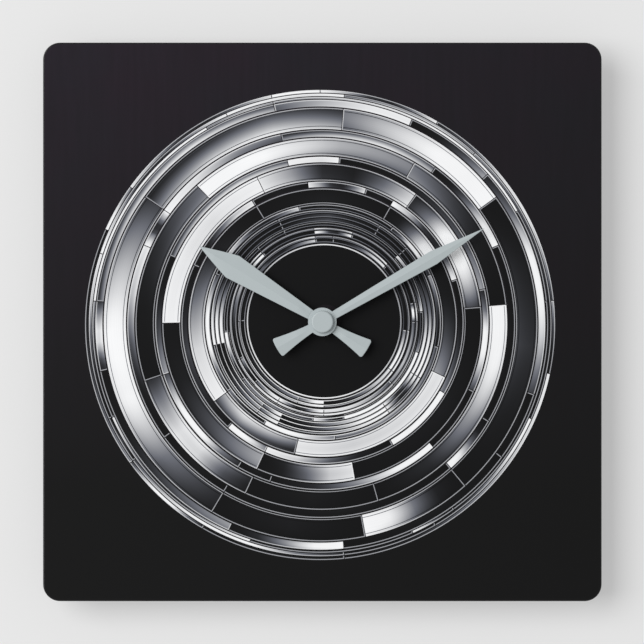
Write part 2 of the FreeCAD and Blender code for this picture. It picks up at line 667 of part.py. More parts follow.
def hour_wheel():
    wheel = gear(HOUR_TEETH, HOUR_MODULE, AXIS, HOUR_PHASE, HOUR_BACK, HOUR_FRONT)
    tube = disc(HOUR_TUBE_OUTER, HOUR_BACK, HOUR_TUBE_FRONT)
    return fuse(wheel, tube).cut(disc(HOUR_TUBE_INNER, HOUR_BACK - PAST, HOUR_TUBE_FRONT + PAST))


def motion_wheel():
    back = MOTION_BACK + PINION_OVERHANG
    wheel = lightened_wheel(
        MOTION_TEETH, MOTION_MODULE, MOTION_CENTRE, MOTION_PHASE, back, MOTION_FRONT,
        tip_radius(MOTION_PINION_TEETH, HOUR_MODULE),
    )
    pinion = gear(
        MOTION_PINION_TEETH, HOUR_MODULE, MOTION_CENTRE, 0.0, MOTION_FRONT,
        HOUR_FRONT + PINION_OVERHANG / 2,
    )
    arbor = disc(ARBOR_RADIUS, PLATE_FRONT + RUN, back, MOTION_CENTRE)
    rear = disc(PIVOT_RADIUS, PLATE_BACK, PLATE_FRONT + RUN, MOTION_CENTRE)
    front = disc(
        PIVOT_RADIUS, HOUR_FRONT, COVER_INNER + PIVOT_LENGTH - RUN, MOTION_CENTRE
    )
    return fuse(wheel, pinion, arbor, rear, front)


def middle_wheel():
    wheel = lightened_wheel(
        MIDDLE_TEETH, ROTOR_MODULE, MIDDLE_CENTRE, 0.0, MIDDLE_BACK, MIDDLE_FRONT,
        ARBOR_RADIUS + HUB_WALL,
    )
    pinion = gear(
        MIDDLE_PINION_TEETH, CENTRE_MODULE, MIDDLE_CENTRE, MIDDLE_PINION_PHASE,
        CENTRE_BACK - PINION_OVERHANG, CENTRE_FRONT + PINION_OVERHANG,
    )
    arbor = disc(ARBOR_RADIUS, MIDDLE_BACK - LAYER_GAP, CENTRE_BACK, MIDDLE_CENTRE)
    rear = disc(
        PIVOT_RADIUS, MIDDLE_BACK - 2 * LAYER_GAP - PIVOT_LENGTH, MIDDLE_BACK, MIDDLE_CENTRE
    )
    front = disc(
        PIVOT_RADIUS, CENTRE_FRONT, CENTRE_FRONT + 2 * LAYER_GAP + PIVOT_LENGTH, MIDDLE_CENTRE
    )
    return fuse(wheel, pinion, arbor, rear, front)


def rotor_pinion():
    pinion = gear(
        ROTOR_TEETH, ROTOR_MODULE, ROTOR_CENTRE, ROTOR_PHASE,
        MIDDLE_BACK - PINION_OVERHANG / 2, MIDDLE_FRONT + PINION_OVERHANG / 2,
    )
    core = disc(ARBOR_RADIUS, MAGNET_BACK - LAYER_GAP, MIDDLE_BACK, ROTOR_CENTRE)
    rear = disc(
        ROTOR_PIVOT_RADIUS, MAGNET_BACK - 2 * LAYER_GAP - PIVOT_LENGTH, MAGNET_BACK, ROTOR_CENTRE
    )
    front = disc(ROTOR_PIVOT_RADIUS, MIDDLE_FRONT, PLATE_FRONT - 2 * RUN, ROTOR_CENTRE)
    return fuse(pinion, core, rear, front)


def rotor_magnet():
    return ring(MAGNET_RADIUS, ARBOR_RADIUS, MAGNET_BACK, MAGNET_FRONT, ROTOR_CENTRE)


def setting_knob():
    """A ribbed thumb wheel behind the case, its shaft, and the pinion on the motion wheel."""
    head = disc(KNOB_RADIUS, KNOB_BACK, KNOB_FRONT, KNOB_CENTRE)
    rib = math.pi * KNOB_RADIUS / KNOB_RIBS / 2
    grooves = [
        disc(rib, KNOB_BACK - PAST, KNOB_FRONT + PAST,
             polar(KNOB_CENTRE, KNOB_RADIUS + rib / 3, 2 * math.pi * k / KNOB_RIBS))
        for k in range(KNOB_RIBS)
    ]
    dish = disc(KNOB_DISH_RADIUS, KNOB_BACK - PAST, KNOB_BACK + KNOB_DISH_DEPTH, KNOB_CENTRE)
    grip = block(
        KNOB_CENTRE[0] - KNOB_DISH_RADIUS, KNOB_CENTRE[0] + KNOB_DISH_RADIUS,
        KNOB_CENTRE[1] - KNOB_GRIP_HALF, KNOB_CENTRE[1] + KNOB_GRIP_HALF, KNOB_BACK, KNOB_FRONT,
    )
    head = fuse(head.cut(grooves + [dish]), grip)
    shaft = disc(KNOB_SHAFT_RADIUS, KNOB_BACK + KNOB_DISH_DEPTH, MOTION_BACK, KNOB_CENTRE)
    pinion = gear(
        KNOB_TEETH, MOTION_MODULE, KNOB_CENTRE, KNOB_PHASE, MOTION_BACK,
        MOTION_FRONT + PINION_OVERHANG,
    )
    pivot = disc(
        PIVOT_RADIUS, MOTION_FRONT, MOTION_FRONT + 2 * LAYER_GAP + PIVOT_LENGTH, KNOB_CENTRE
    )
    return fuse(head, shaft, pinion, pivot)


# ---- plates and motor ----
def train_plate():
    plate = block(PLATE_LEFT, PLATE_RIGHT, PLATE_BOTTOM, PLATE_TOP, PLATE_BACK, PLATE_FRONT)
    plate = plate.makeFillet(PLATE_CORNER_RADIUS, edges_along_y(plate, lambda x, z: True))
    holes = [
        (PIVOT_RADIUS + RUN, AXIS),
        (PIVOT_RADIUS + RUN, MOTION_CENTRE),
        (ROTOR_PIVOT_RADIUS + RUN, ROTOR_CENTRE),
        (tip_radius(MIDDLE_PINION_TEETH, CENTRE_MODULE) + LAYER_GAP, MIDDLE_CENTRE),
        (KNOB_SHAFT_RADIUS + LAYER_GAP, KNOB_CENTRE),
    ] + [(SCREW_RADIUS + RUN, place) for place in PLATE_POSTS]
    return plate.cut([disc(r, PLATE_BACK - PAST, PLATE_FRONT + PAST, place) for r, place in holes])


def stator_plate():
    strip = block(STATOR_LEFT, STATOR_RIGHT, STATOR_BOTTOM, STATOR_TOP, STATOR_BACK, STATOR_FRONT)
    lugs = [
        block(left, left + LUG_WIDTH, STATOR_BOTTOM, LUG_TOP, STATOR_BACK, STATOR_FRONT)
        for left in (STATOR_LEFT, STATOR_RIGHT - LUG_WIDTH)
    ]
    bore = disc(STATOR_BORE, STATOR_BACK - PAST, STATOR_FRONT + PAST, ROTOR_CENTRE)
    notches = [
        disc(STATOR_NOTCH_RADIUS, STATOR_BACK - PAST, STATOR_FRONT + PAST,
             polar(ROTOR_CENTRE, STATOR_BORE, math.radians(angle)))
        for angle in STATOR_NOTCH_ANGLES
    ]
    screws = [disc(SCREW_RADIUS + RUN, STATOR_BACK - PAST, STATOR_FRONT + PAST, p) for p in LUG_SCREWS]
    return fuse(strip, *lugs).cut([bore] + notches + screws)


def coil_core():
    bar = block(
        STATOR_LEFT, STATOR_RIGHT, COIL_Z - CORE_WIDTH / 2, COIL_Z + CORE_WIDTH / 2,
        CORE_BACK, STATOR_BACK,
    )
    screws = [disc(SCREW_RADIUS + RUN, CORE_BACK - PAST, STATOR_BACK + PAST, p) for p in LUG_SCREWS]
    return bar.cut(screws)


def along_x(radius, left, right, depth, z):
    return Part.makeCylinder(radius, right - left, Vector(left, -depth, z), Vector(1, 0, 0))


def coil_bobbin():
    tube = along_x(BOBBIN_RADIUS, COIL_LEFT, COIL_RIGHT, COIL_DEPTH, COIL_Z)
    flanges = [
        along_x(COIL_OUTER, left, left + BOBBIN_FLANGE, COIL_DEPTH, COIL_Z)
        for left in (COIL_LEFT, COIL_RIGHT - BOBBIN_FLANGE)
    ]
    hole = block(
        COIL_LEFT - PAST, COIL_RIGHT + PAST, COIL_Z - CORE_WIDTH / 2 - RUN, COIL_Z + CORE_WIDTH / 2 + RUN,
        CORE_BACK - RUN, STATOR_BACK + RUN,
    )
    return fuse(tube, *flanges).cut(hole)


def coil_winding():
    left, right = COIL_LEFT + BOBBIN_FLANGE, COIL_RIGHT - BOBBIN_FLANGE
    wound = along_x(COIL_RADIUS, left, right, COIL_DEPTH, COIL_Z)
    return wound.cut(along_x(BOBBIN_RADIUS, left - PAST, right + PAST, COIL_DEPTH, COIL_Z))


def screw(place, seat, length):
    """A pan-head screw whose head seats at a depth and whose shank runs back from it."""
    head = disc(SCREW_HEAD_RADIUS, seat, seat + SCREW_HEAD_THICKNESS, place)
    head = head.makeFillet(
        SCREW_HEAD_ROUND,
        [e for e in head.Edges if edge_at(e, seat + SCREW_HEAD_THICKNESS)],
    )
    cross = [
        block(place[0] - a, place[0] + a, place[1] - b, place[1] + b,
              seat + SCREW_HEAD_THICKNESS / 2, seat + 2 * SCREW_HEAD_THICKNESS)
        for a, b in ((CROSS_HALF_LENGTH, CROSS_HALF_WIDTH), (CROSS_HALF_WIDTH, CROSS_HALF_LENGTH))
    ]
    return fuse(head, disc(SCREW_RADIUS, seat - length, seat, place)).cut(cross)


def stator_screws():
    length = 2 * STATOR_THICKNESS + SCREW_LENGTH - SCREW_END_GAP
    return Part.makeCompound([screw(place, STATOR_FRONT, length) for place in LUG_SCREWS])


def board_screws():
    length = BOARD_THICKNESS + BOARD_STAND_OFF
    return Part.makeCompound([screw(place, BOARD_FRONT, length) for place in BOARD_SCREWS])


# ---- electronics ----
def circuit_board():
    strip = block(BOARD_LEFT, BOARD_RIGHT, BOARD_BOTTOM, BOARD_STRIP_TOP, BOARD_BACK, BOARD_FRONT)
    body = block(BOARD_BLOCK_LEFT, BOARD_RIGHT, BOARD_BOTTOM, BOARD_TOP, BOARD_BACK, BOARD_FRONT)
    holes = [disc(SCREW_RADIUS + RUN, 0, BOARD_FRONT + PAST, place) for place in BOARD_SCREWS]
    return fuse(strip, body).cut(holes)


def quartz_crystal():
    """A tuning-fork crystal in its round can, lying on the board."""
    left = BOARD_BLOCK_LEFT + CRYSTAL_INSET
    z = BOARD_TOP - CRYSTAL_DROP
    depth = BOARD_FRONT + CRYSTAL_RADIUS
    can = along_x(CRYSTAL_RADIUS, left, left + CRYSTAL_LENGTH, depth, z)
    return can.makeFillet(CRYSTAL_ROUND, [
        e for e in can.Edges if abs(e.BoundBox.XMin - left - CRYSTAL_LENGTH) < 1e-6
    ])


def control_chip():
    """The bare chip under its dome of black epoxy."""
    x = (BOARD_BLOCK_LEFT + BOARD_RIGHT) / 2
    z = (BOARD_BOTTOM + BOARD_STRIP_TOP) / 2 + CHIP_RISE
    radius = (CHIP_RADIUS ** 2 + CHIP_HEIGHT ** 2) / (2 * CHIP_HEIGHT)
    middle = Vector(x, -(BOARD_FRONT + CHIP_HEIGHT - radius), z)
    ball = Part.makeSphere(radius, middle)
    return ball.common(disc(2 * CHIP_RADIUS, BOARD_FRONT, BOARD_FRONT + 2 * CHIP_HEIGHT, (x, z)))


def coil_leads():
    """The two ends of the winding, drawn straight from the bobbin's flange to the board."""
    leads = []
    for k in range(2):
        start = Vector(
            COIL_RIGHT - BOBBIN_FLANGE / 2 - LEAD_SPLAY * k, -(COIL_DEPTH - LEAD_SPACING / 2 * k),
            COIL_Z - COIL_OUTER - LEAD_RADIUS,
        )
        end = Vector(
            BOARD_BLOCK_LEFT + LEAD_PAD_INSET + LEAD_SPACING * k, -(BOARD_FRONT + LEAD_RADIUS),
            BOARD_TOP - LEAD_PAD_INSET,
        )
        run = end - start
        leads.append(Part.makeCylinder(LEAD_RADIUS, run.Length, start, run))
    return Part.makeCompound(leads)


# ---- battery and contacts ----
def battery_can():
    """An AA cell's drawn steel can with its positive nub, hollow around the core."""
    inner = BATTERY_RADIUS - SLEEVE_THICKNESS
    can = along_x(inner, BATTERY_END, CAN_SHOULDER, BATTERY_DEPTH, BATTERY_Z)
    can = can.makeFillet(CAN_ROUND, [
        e for e in can.Edges if e.BoundBox.XLength < 1e-6 and len(e.Vertexes) == 1
    ])
    nub = along_x(
        BATTERY_NUB_RADIUS, CAN_SHOULDER - CAN_WALL, NUB_TIP, BATTERY_DEPTH, BATTERY_Z
    )
    nub = nub.makeFillet(CAN_ROUND / 2, [
        e for e in nub.Edges if abs(e.BoundBox.XMin - NUB_TIP) < 1e-6
    ])
    return fuse(can, nub).cut(battery_core())


def battery_core():
    """The cell's packed contents, which fill the can."""
    left, right = BATTERY_END + CAN_WALL, CAN_SHOULDER - CAN_WALL
    radius = BATTERY_RADIUS - SLEEVE_THICKNESS - CAN_WALL
    core = along_x(radius, left, right, BATTERY_DEPTH, BATTERY_Z)
    return core.makeFillet(CAN_ROUND - CAN_WALL, [
        e for e in core.Edges if e.BoundBox.XLength < 1e-6 and len(e.Vertexes) == 1
    ])


def battery_sleeve():
    left, right = BATTERY_END + SLEEVE_MARGIN, CAN_SHOULDER - SLEEVE_MARGIN
    outer = along_x(BATTERY_RADIUS, left, right, BATTERY_DEPTH, BATTERY_Z)
    inner = BATTERY_RADIUS - SLEEVE_THICKNESS
    return outer.cut(along_x(inner, left - PAST, right + PAST, BATTERY_DEPTH, BATTERY_Z))


def contact(side):
    """A sprung strip at one end of the bay, with a tongue that lies on the circuit board."""
    inner, outer = CONTACT_INNER * side, (CONTACT_INNER + CONTACT_THICKNESS) * side
    left, right = min(inner, outer), max(inner, outer)
    half = CONTACT_WIDTH / 2
    tongue_front = BOARD_FRONT + TONGUE_WIDTH
    link_top = BAY_TOP - CONTACT_BEND / 2
    pad_end = (BOARD_RIGHT - CONTACT_REACH) * side
    plate = block(
        left, right, BATTERY_Z - half, link_top, BATTERY_DEPTH - half, BATTERY_DEPTH + half
    )
    neck = block(left, right, link_top - CONTACT_BEND, CONTACT_TOP, BOARD_FRONT, tongue_front)
    link = block(left, right, link_top - CONTACT_BEND, link_top, BOARD_FRONT, BATTERY_DEPTH)
    pad = block(
        min(pad_end, outer), max(pad_end, outer), CONTACT_TOP - TONGUE_WIDTH, CONTACT_TOP,
        BOARD_FRONT, BOARD_FRONT + CONTACT_THICKNESS,
    )
    return fuse(plate, link, neck, pad)


def positive_contact():
    return contact(1)


def negative_contact():
    return contact(-1)


def negative_spring():
    """A short conical coil between the negative strip and the cell."""
    start = -CONTACT_INNER + SPRING_WIRE_RADIUS
    height = BATTERY_END - CONTACT_GAP - SPRING_WIRE_RADIUS - start
    cone = math.degrees(math.atan2(SPRING_BASE_RADIUS - SPRING_TOP_RADIUS, height))
    helix = Part.makeHelix(height / SPRING_TURNS, height, SPRING_TOP_RADIUS, cone)
    wire = Part.Wire(helix.Edges)
    first = wire.Edges[0]
    point, tangent = first.valueAt(first.FirstParameter), first.tangentAt(first.FirstParameter)
    section = Part.Wire([Part.makeCircle(SPRING_WIRE_RADIUS, point, tangent)])
    coil = wire.makePipeShell([section], True, True)
    turn = FreeCAD.Rotation(Vector(0, 0, 1), Vector(-1, 0, 0))
    place = Vector(start + height, -BATTERY_DEPTH, BATTERY_Z)
    coil.Placement = FreeCAD.Placement(place, turn)
    return coil


# ---- case ----
def case_front():
    """The front cover: it carries the bushing, the arbors' front bearings and the plate posts."""
    cover = block(-CASE_HALF, CASE_HALF, PARTITION_TOP, CASE_TOP, COVER_INNER, CASE_DEPTH)
    cover = cover.makeFillet(CASE_CORNER_RADIUS, edges_along_y(cover, lambda x, z: z > 0))
    posts = [disc(POST_RADIUS, PLATE_FRONT, COVER_INNER, place) for place in PLATE_POSTS]
    pins = [disc(SCREW_RADIUS, PLATE_BACK - PLATE_PIN_PROUD, PLATE_FRONT, place) for place in PLATE_POSTS]
    boss = PIVOT_RADIUS + BOSS_WALL
    middle_boss = disc(boss, CENTRE_FRONT + 2 * LAYER_GAP, COVER_INNER, MIDDLE_CENTRE)
    knob_boss = disc(boss, MOTION_FRONT + 2 * LAYER_GAP, COVER_INNER, KNOB_CENTRE)
    arms = [latch_arm(side, z) for side in (-1, 1) for z in LATCH_PLACES]
    body = fuse(cover, middle_boss, knob_boss, *posts, *pins, *arms)
    deep = PIVOT_LENGTH + 3 * LAYER_GAP
    holes = [
        disc(BUSHING_RADIUS, COVER_INNER - PAST, CASE_DEPTH + PAST),
        disc(PIVOT_RADIUS + RUN, COVER_INNER - PAST, COVER_INNER + PIVOT_LENGTH, MOTION_CENTRE),
        disc(PIVOT_RADIUS + RUN, CENTRE_FRONT, CENTRE_FRONT + LAYER_GAP + deep, MIDDLE_CENTRE),
        disc(PIVOT_RADIUS + RUN, MOTION_FRONT, MOTION_FRONT + LAYER_GAP + deep, KNOB_CENTRE),
    ]
    return body.cut(holes)


def latch_arm(side, z):
    """A springy arm beside the case wall, with a window for the catch."""
    near, far = CASE_HALF + RUN, CASE_HALF + RUN + LATCH_THICKNESS
    back = CASE_DEPTH - LATCH_LENGTH
    left, right = sorted((near * side, far * side))
    arm = block(left, right, z - LATCH_WIDTH / 2, z + LATCH_WIDTH / 2, back, CASE_DEPTH)
    root_left, root_right = sorted(((CASE_HALF - LATCH_ROOT) * side, far * side))
    root = block(
        root_left, root_right, z - LATCH_WIDTH / 2, z + LATCH_WIDTH / 2, COVER_INNER, CASE_DEPTH
    )
    window = block(
        left - PAST, right + PAST, z - LATCH_WIDTH / 4, z + LATCH_WIDTH / 4,
        back + LATCH_END, back + LATCH_END + LATCH_CATCH,
    )
    return fuse(arm, root).cut(window)


def latch_catch(side, z):
    """The wedge on the case wall that snaps into the arm's window."""
    gap = 2 * RUN
    back = CASE_DEPTH - LATCH_LENGTH + LATCH_END + gap
    left, right = sorted(((CASE_HALF - CATCH_ROOT) * side, (CASE_HALF + CATCH_PROUD) * side))
    half = LATCH_WIDTH / 4 - gap
    return block(left, right, z - half, z + half, back, back + LATCH_CATCH - 2 * gap)


def bearing(place, radius, front, length):
    """A boss on the case's back wall with a blind bearing hole, and the hole that it needs."""
    boss = disc(radius + BOSS_WALL, CASE_BACK, front, place)
    return boss, disc(radius, front - length, front + PAST, place)


def case_rear():
    """The case body: a closed gear chamber above an open battery bay."""
    shell = rounded_block(
        -CASE_HALF, CASE_HALF, CASE_BOTTOM, CASE_TOP, 0, CASE_DEPTH, CASE_CORNER_RADIUS
    )
    chamber = block(-INNER_HALF, INNER_HALF, PARTITION_TOP, INNER_TOP, CASE_BACK, CASE_DEPTH + PAST)
    rebate = block(
        -CASE_HALF - PAST, CASE_HALF + PAST, PARTITION_TOP, CASE_TOP + PAST, COVER_INNER, CASE_DEPTH + PAST
    )
    bay = block(-INNER_HALF, INNER_HALF, BAY_BOTTOM, BAY_TOP, -PAST, CASE_DEPTH - BAY_FLOOR)
    body = shell.cut([chamber, rebate, bay])
    bearings = [
        bearing(MIDDLE_CENTRE, PIVOT_RADIUS + RUN, MIDDLE_BACK - 2 * LAYER_GAP,
                PIVOT_LENGTH + LAYER_GAP),
        bearing(ROTOR_CENTRE, ROTOR_PIVOT_RADIUS + RUN, MAGNET_BACK - 2 * LAYER_GAP,
                PIVOT_LENGTH + LAYER_GAP),
    ]
    lug_posts = [
        bearing(place, SCREW_RADIUS, CORE_BACK, SCREW_LENGTH) for place in LUG_SCREWS
    ]
    board_posts = [
        bearing(place, SCREW_RADIUS, BOARD_BACK, BOARD_STAND_OFF + SCREW_END_GAP)
        for place in BOARD_SCREWS
    ]
    stands = bearings + lug_posts + board_posts
    cup = disc(RECESS_RADIUS + CASE_WALL, 0, RECESS_FLOOR_FRONT, KNOB_CENTRE)
    collar = disc(
        KNOB_SHAFT_RADIUS + RUN + BOSS_WALL, CASE_BACK, RECESS_FLOOR_FRONT + KNOB_COLLAR_HEIGHT,
        KNOB_CENTRE,
    )
    catches = [latch_catch(side, z) for side in (-1, 1) for z in LATCH_PLACES]
    body = fuse(body, cup, collar, *[boss for boss, hole in stands], *catches)
    recess = disc(RECESS_RADIUS, -PAST, RECESS_FLOOR_BACK, KNOB_CENTRE)
    shaft_hole = disc(KNOB_SHAFT_RADIUS + RUN, 0, CASE_DEPTH, KNOB_CENTRE)
    slots = [contact_slot(side) for side in (-1, 1)]
    return body.cut([recess, shaft_hole] + slots + marks() + [hole for boss, hole in stands])


def contact_slot(side):
    """The slot in the partition that a contact's neck passes through."""
    gap = CONTACT_SLOT_GAP
    left, right = sorted(((CONTACT_INNER - gap) * side, INNER_HALF * side))
    return block(
        left, right, BAY_TOP - PAST, PARTITION_TOP + PAST, BOARD_FRONT - gap,
        BOARD_FRONT + TONGUE_WIDTH + gap,
    )


def marks():
    """A plus and a minus sunk into the back wall, above the two ends of the battery bay."""
    z = PARTITION_TOP + MARK_RISE
    x = CASE_HALF - MARK_INSET
    long, thin = MARK_ARM, MARK_HALF_WIDTH
    bars = [(x, long, thin), (x, thin, long), (-x, long, thin)]
    return [block(c - a, c + a, z - b, z + b, -PAST, MARK_DEPTH) for c, a, b in bars]


NODES = {
    "face_panel": face_panel,
    "printed_film": printed_film,
    "rubber_gasket": rubber_gasket,
    "front_washer": front_washer,
    "hex_nut": hex_nut,
    "threaded_bushing": threaded_bushing,
    "hanger_plate": hanger_plate,
    "minute_hand": minute_hand,
    "hour_hand": hour_hand,
    "hour_hand_collet": hour_hand_collet,
    "hand_cap": hand_cap,
    "minute_arbor": minute_arbor,
    "centre_wheel": centre_wheel,
    "clutch_spring": clutch_spring,
    "hour_wheel": hour_wheel,
    "motion_wheel": motion_wheel,
    "middle_wheel": middle_wheel,
    "rotor_pinion": rotor_pinion,
    "rotor_magnet": rotor_magnet,
    "setting_knob": setting_knob,
    "train_plate": train_plate,
    "stator_plate": stator_plate,
    "coil_core": coil_core,
    "coil_bobbin": coil_bobbin,
    "coil_winding": coil_winding,
    "stator_screws": stator_screws,
    "circuit_board": circuit_board,
    "board_screws": board_screws,
    "quartz_crystal": quartz_crystal,
    "control_chip": control_chip,
    "coil_leads": coil_leads,
    "battery_can": battery_can,
    "battery_core": battery_core,
    "battery_sleeve": battery_sleeve,
    "positive_contact": positive_contact,
    "negative_contact": negative_contact,
    "negative_spring": negative_spring,
    "case_front": case_front,
    "case_rear": case_rear,
}


def main():
    os.makedirs("parts", exist_ok=True)
    for name, build in NODES.items():
        shape = build()
        if not shape.isValid() or not shape.Solids:
            raise RuntimeError(f"{name} isn't a valid solid")
        shape.exportStep(os.path.join("parts", name + ".step"))
        print(name, len(shape.Solids), round(shape.Volume, 2))


main()
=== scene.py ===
"""The looks of a square wall clock: black panel, ring-pattern print, painted hands, quartz movement."""

import json
import math

import bmesh
import bpy
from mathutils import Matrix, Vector


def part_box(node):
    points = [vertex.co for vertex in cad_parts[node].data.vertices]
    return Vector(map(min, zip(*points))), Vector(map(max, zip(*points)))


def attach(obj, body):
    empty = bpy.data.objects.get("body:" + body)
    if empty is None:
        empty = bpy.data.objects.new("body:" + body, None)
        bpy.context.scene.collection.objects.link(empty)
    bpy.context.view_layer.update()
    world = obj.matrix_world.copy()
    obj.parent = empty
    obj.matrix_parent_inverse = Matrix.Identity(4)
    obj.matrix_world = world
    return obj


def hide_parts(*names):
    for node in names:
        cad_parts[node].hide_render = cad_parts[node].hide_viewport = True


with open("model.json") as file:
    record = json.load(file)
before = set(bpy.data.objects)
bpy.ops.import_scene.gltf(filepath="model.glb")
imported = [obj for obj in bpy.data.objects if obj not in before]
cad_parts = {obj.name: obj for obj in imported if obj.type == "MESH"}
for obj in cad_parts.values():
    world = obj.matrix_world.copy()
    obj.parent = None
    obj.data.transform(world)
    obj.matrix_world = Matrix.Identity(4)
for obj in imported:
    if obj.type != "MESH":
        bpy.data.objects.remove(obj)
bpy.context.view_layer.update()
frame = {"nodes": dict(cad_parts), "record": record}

MM = 0.001
nodes = frame["nodes"]

# ---- places taken from the frame ----
FILM_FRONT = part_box("printed_film")[0].y
panel_low, panel_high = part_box("face_panel")
PANEL_WIDTH = panel_high.x - panel_low.x

# ---- the print: a generic pattern of ring segments, in millimetres ----
PRINT_THICKNESS = 0.05
EDGE_THICKNESS = 0.08
FINE_THICKNESS = 0.10
ARC_STEP = 1.5
CONTRAST = 0.7
FULL_TURN = 360
MINUTES = 60
MINUTE_ANGLE = FULL_TURN / MINUTES
TONE_GAMMA = 2.2
LIGHTEST_TONE = 0.97
OUTER_CENTRE = (-1.1, -1.5)
INNER_CENTRE = (0.9, 0.3)
SEGMENT_GAP = 0.4
EDGE_WIDTH = 0.42
EDGE_GAIN, EDGE_FLOOR = 0.38, 0.57
LINE_GAP = 0.03
GROOVE_WIDTH = 0.3
FINE_GAP = 0.6
GROOVE_GAIN, GROOVE_FLOOR = 0.45, 0.02
GROOVE_PLACES = (0.11, 0.86)
WIDE_RING = 5.5
DISC_RADIUS = 37.2
DISC_HOLE = 7.5
RIM_WIDTH = 0.6
FINE_PITCH = 2.1
FINE_COUNT = 9
FINE_START = 1.5

# Tones from 0, black, to 1, white, clockwise along a segment's outer and then its inner edge.
RAMPS = {
    "W": ((.97, .95, .90, .97), (.97, .90, .85, .97)),
    "V": ((.96, .88, .62, .50), (.97, .82, .48, .36)),
    "U": ((.46, .66, .90, .96), (.38, .70, .94, .96)),
    "M": ((.06, .16, .24, .14, .07), (.10, .24, .32, .18, .08)),
    "K": ((.05, .10, .06), (.07, .16, .08)),
    "R": ((.06, .12, .34, .72, .95), (.08, .18, .46, .86, .96)),
    "F": ((.95, .80, .40, .16, .06), (.96, .86, .54, .22, .08)),
    "r": ((.06, .10, .22, .42), (.07, .14, .34, .58)),
    "f": ((.46, .26, .12, .06), (.60, .36, .16, .07)),
    "P": ((.14, .34, .84, .93, .58, .24), (.22, .48, .93, .95, .66, .32)),
    "D": ((.88, .58, .20, .14, .40, .80), (.93, .66, .28, .20, .52, .90)),
    "B": ((.08, .14, .30, .22), (.60, .84, .92, .70)),
}
# The rings' outer and inner radii.
RINGS = [
    (114.8, 113.5), (113.0, 111.8), (111.3, 110.4), (109.9, 106.6), (105.9, 95.4), (94.7, 91.5),
    (90.8, 82.2), (81.4, 78.7), (78.0, 69.6), (68.9, 66.3), (65.5, 58.2), (57.5, 55.3),
    (54.7, 49.4), (48.8, 46.4), (45.8, 42.4), (41.8, 38.2),
]
# Every ring steps through the same spans, in minutes, from a place of its own.
SPANS = (5, 9, 3, 12, 6, 4, 10, 2, 7, 8)
SPAN_STRIDE = 3
START_STRIDE = 7
WIDE_EXTRA = 4
SHORTEST_SPAN = 2
# The ramps from dark to light, with a few to take turns at each level.
LADDER = ("K", "MKf", "rMfD", "DRBF", "FPRD", "VPUR", "WVU")
BULGES = (0.10, -0.12, 0.16, -0.05, 0.20)
PLATE_ROWS = 5
WIDE_ROWS = 8
LEVEL_SWING = 0.24
INNER_GLOW = (0.48, 0.34, 165.0)
OUTER_GLOW = (0.52, 0.23, 335.0)
GLOW_CHANGE_RADIUS = 74.0
FINE_TONES = (.50, .46, .40, .34, .40, .55, .85, .96, .96, .92, .66, .50, .46, .44, .50)
RIM_TONES = (.88, .80, .62, .60, .78, .90, .92, .90, .80, .66, .74, .88)
BLACK = ((0.0, 0.0), (0.0, 0.0))


# ---- small mesh helpers ----
def mesh_object(name, verts, faces, smooth=False):
    mesh = bpy.data.meshes.new(name)
    mesh.from_pydata([Vector(v) * MM for v in verts], [], faces)
    mesh.validate()
    bm = bmesh.new()
    bm.from_mesh(mesh)
    bmesh.ops.recalc_face_normals(bm, faces=bm.faces)
    bm.to_mesh(mesh)
    bm.free()
    obj = bpy.data.objects.new(name, mesh)
    bpy.context.scene.collection.objects.link(obj)
    for polygon in mesh.polygons:
        polygon.use_smooth = smooth
    return obj


def smooth_step(value):
    value = min(1.0, max(0.0, value))
    return value * value * (3 - 2 * value)


def ring_centre(radius):
    """The rings' centres drift from the innermost to the outermost one."""
    share = (radius - DISC_RADIUS) / (RINGS[0][0] - DISC_RADIUS)
    return [a + (b - a) * share for a, b in zip(INNER_CENTRE, OUTER_CENTRE)]


def on_ring(radius, angle):
    """The x and z of a point of the print, at a clock angle on a ring."""
    x, z = ring_centre(radius)
    turn = math.radians(angle)
    return x + radius * math.sin(turn), z + radius * math.cos(turn)


def tone_at(tones, share):
    """The tone at a share of the way along evenly spaced tones."""
    place = share * (len(tones) - 1)
    low = min(int(place), len(tones) - 2)
    return tones[low] + (tones[low + 1] - tones[low]) * (place - low)


def add_plate(parts, thickness, outer, inner, start, end, ramp, rows=1, bulge=0.0):
    """Adds one closed arc plate between two radii and two clock angles, with its tones."""
    verts, faces, tones = parts
    full = end - start == FULL_TURN
    steps = max(2, math.ceil((end - start) / ARC_STEP))
    back = FILM_FRONT / MM
    first = len(verts)
    for step in range(steps if full else steps + 1):
        share = step / steps
        angle = start + (end - start) * share
        near, far = tone_at(ramp[0], share), tone_at(ramp[1], share)
        for row in range(rows + 1):
            across = row / rows
            x, z = on_ring(outer + (inner - outer) * across, angle)
            tone = near + (far - near) * across + bulge * near * math.sin(math.pi * across)
            for y in (back - thickness, back):
                verts.append((x, y, z))
                tones.append(min(1.0, tone))

    def at(step, row, layer):
        turned = step % steps if full else step
        return first + (turned * (rows + 1) + row) * 2 + layer

    for step in range(steps):
        for layer in (0, 1):
            for row in range(rows):
                faces.append((at(step, row, layer), at(step + 1, row, layer),
                              at(step + 1, row + 1, layer), at(step, row + 1, layer)))
        for row in (0, rows):
            faces.append((at(step, row, 0), at(step, row, 1), at(step + 1, row, 1), at(step + 1, row, 0)))
    for step in () if full else (0, steps):
        for row in range(rows):
            faces.append((at(step, row, 0), at(step, row + 1, 0), at(step, row + 1, 1), at(step, row, 1)))


